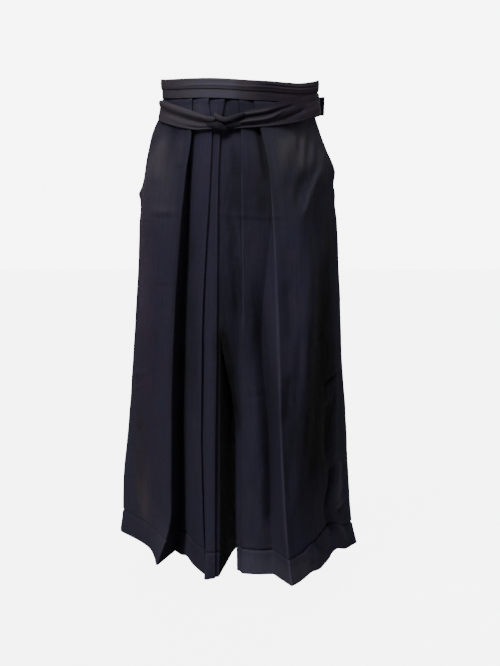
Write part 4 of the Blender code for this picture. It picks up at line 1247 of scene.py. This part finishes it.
# Closed grids (last column meets the first) joined into one mesh, each with its own painted shading along it.
def joinClosed(name, grids, rollShading, material, sharp=60.0):
    points, quads, uvs, marks, start = [], [], [], [], 0
    for grid, fade in zip(grids, rollShading):
        rows, columns = grid.shape[0], grid.shape[1] - 1
        index = start + np.arange(rows * columns).reshape(rows, columns)
        index = np.concatenate([index, index[:, :1]], axis=1)
        points.append(grid[:, :columns].reshape(-1, 3))
        uvs.append(surfaceMap(grid)[:, :columns].reshape(-1, 2))
        quads.append(quadsOf(index))
        marks.append(np.repeat(np.linspace(*fade, rows), columns))
        start += rows * columns
    return makeMesh(name, np.concatenate(points), np.concatenate(quads), np.concatenate(uvs), material,
                    fade=np.concatenate(marks), sharp=sharp)


around, over = np.meshgrid(np.linspace(0, 2 * math.pi, 97), np.linspace(0.02, math.pi - 0.02, 65))
swell = 1 + knot["dents"] * np.sin(4 * around + 2.2 * over) * np.sin(over) ** 2
ball = np.stack([np.sin(over) * np.cos(around), np.cos(over), np.sin(over) * np.sin(around)], axis=-1)
core = ball * np.array(knot["half"]) * swell[..., None]
# The core is painted dark all over: painted shade.
knotPiece = joinClosed("frontKnot", [knotPlace(core)] + [knotPlace(rollGrid(roll)) for roll in knotRolls],
                       [(-1.0, -1.0)] + [roll["fade"] for roll in knotRolls], tieCloth)
dress(knotPiece, "Front_Knot")
print("waist made")

# What each cloth was cut to before it was sewn: width and length in metres, and its area where the
# cut tapers.
cuts = [
    dict(name="hakamaFrontRight", flat=(0.60, 0.94), area=0.378, held="hung", on=["frontBand"]),
    dict(name="hakamaFrontLeft", flat=(0.46, 0.94), area=0.334, held="hung", on=["frontBand"]),
    dict(name="hakamaBackRight", flat=(0.32, 0.91), area=0.256, held="hung", on=["backBoard"]),
    dict(name="hakamaBackLeft", flat=(0.28, 0.90), area=0.228, held="hung", on=["backBoard"]),
    dict(name="gussetRight", flat=(0.34, 0.46), area=0.141, held="hung",
         on=["hakamaFrontRight", "hakamaBackRight"]),
    dict(name="gussetLeft", flat=(0.295, 0.455), area=0.130, held="hung",
         on=["hakamaFrontLeft", "hakamaBackLeft"]),
    dict(name="frontBand", flat=(0.032, 0.44), held="stretched", on=["hakamaFrontRight", "hakamaFrontLeft"]),
    dict(name="woundTie", flat=(0.019, 0.86), held="stretched", on=["frontBand"]),
    dict(name="rearTieRight", flat=(0.052, 0.35), area=0.0130, held="gathered", on=["woundTie"]),
    dict(name="rearTieLeft", flat=(0.052, 0.37), area=0.0140, held="gathered", on=["woundTie"]),
    dict(name="tuckedTieEnd", flat=(0.037, 0.070), held="folded", on=["rearTieLeft"]),
]
for cut in cuts:
    sewn = cut["name"] + "Stitches"
    going = [pieces[sewn]] if sewn in pieces else []
    if cut["name"] == "rearTieRight":
        going.append(knotPiece)

# Stage, light and camera.
# The air glows a little more than the floor, which also reflects the lights, so that both look white.
studio = dict(floor=-0.94, radius=30.0, floorColour=(0.30, 0.30, 0.30), floorWhite=6.0, airWhite=7.2,
              ambient=0.05, lamp=16.0, lampPlace=(0.12, -0.75, 0.95), lampAim=(0.0, -0.12, -0.35),
              lampSize=0.7)
suns = (
    dict(name="keyLight", strength=3.2, turn=-31.0, lift=45.0, angle=18.0),
    dict(name="fillLight", strength=0.34, turn=65.0, lift=35.0, angle=40.0),
    dict(name="backLight", strength=4.6, turn=185.0, lift=38.0, angle=40.0),
)
camera = dict(lens=51.35, distance=1.9, turn=9.5, pitch=5.0, height=-0.2794, aside=0.0205)


def makeStage():
    bpy.ops.mesh.primitive_circle_add(vertices=96, radius=studio["radius"], fill_type="NGON",
                                      location=(0, 0, studio["floor"]))
    floor = bpy.context.object
    floor.name = "studioFloor"
    material = bpy.data.materials.new("paleFloor")
    work = Finish(material)
    seen = work.out(work.put("ShaderNodeLightPath"), "Is Camera Ray")
    paint = work.put("ShaderNodeBsdfDiffuse", None, Color=(*studio["floorColour"], 1.0))
    glow = work.put("ShaderNodeEmission", None, Color=(1, 1, 1, 1), Strength=seen * studio["floorWhite"])
    both = work.put("ShaderNodeAddShader", None, _0=work.out(paint), _1=work.out(glow))
    work.put("ShaderNodeOutputMaterial", None, Surface=work.out(both))
    floor.data.materials.append(material)
    world = bpy.data.worlds.new("studioAir")
    bpy.context.scene.world = world
    air = Finish(world)
    seen = air.out(air.put("ShaderNodeLightPath"), "Is Camera Ray")
    strength = seen * (studio["airWhite"] - studio["ambient"]) + studio["ambient"]
    air.put("ShaderNodeOutputWorld", None, Surface=air.out(
        air.put("ShaderNodeBackground", None, Color=(1, 1, 1, 1), Strength=strength)))


# Puts a light or camera in the scene with one of its axes along the given way.
def aimed(ob, way, axis):
    ob.rotation_euler = Vector(way).to_track_quat(axis, "Y").to_euler()
    bpy.context.scene.collection.objects.link(ob)


# A soft distant light: turn is round from the front toward the wearer's left, lift above the level.
def makeSun(name, strength, turn, lift, angle):
    light = bpy.data.lights.new(name, "SUN")
    light.energy, light.angle = strength, math.radians(angle)
    ob = bpy.data.objects.new(name, light)
    turn, lift = math.radians(turn), math.radians(lift)
    aimed(ob, (math.sin(turn) * math.cos(lift), -math.cos(turn) * math.cos(lift), math.sin(lift)), "Z")


# A soft square light above the front of the waist, so light falls off toward the hem.
def makeLamp():
    light = bpy.data.lights.new("lampLight", "AREA")
    light.energy, light.size = studio["lamp"], studio["lampSize"]
    ob = bpy.data.objects.new("lampLight", light)
    ob.location = studio["lampPlace"]
    aimed(ob, Vector(studio["lampPlace"]) - Vector(studio["lampAim"]), "Z")


def makeCamera():
    turn, pitch = math.radians(camera["turn"]), math.radians(camera["pitch"])
    data = bpy.data.cameras.new("camera")
    data.lens = camera["lens"]
    data.clip_end = 100.0
    ob = bpy.data.objects.new("camera", data)
    ob.location = (camera["aside"] * math.cos(turn) + camera["distance"] * math.sin(turn),
                   camera["aside"] * math.sin(turn) - camera["distance"] * math.cos(turn), camera["height"])
    aimed(ob, (-math.sin(turn) * math.cos(pitch), math.cos(turn) * math.cos(pitch), -math.sin(pitch)), "-Z")
    bpy.context.scene.camera = ob


makeStage()
for sun in suns:
    makeSun(**sun)
makeLamp()
makeCamera()
print("stage made")
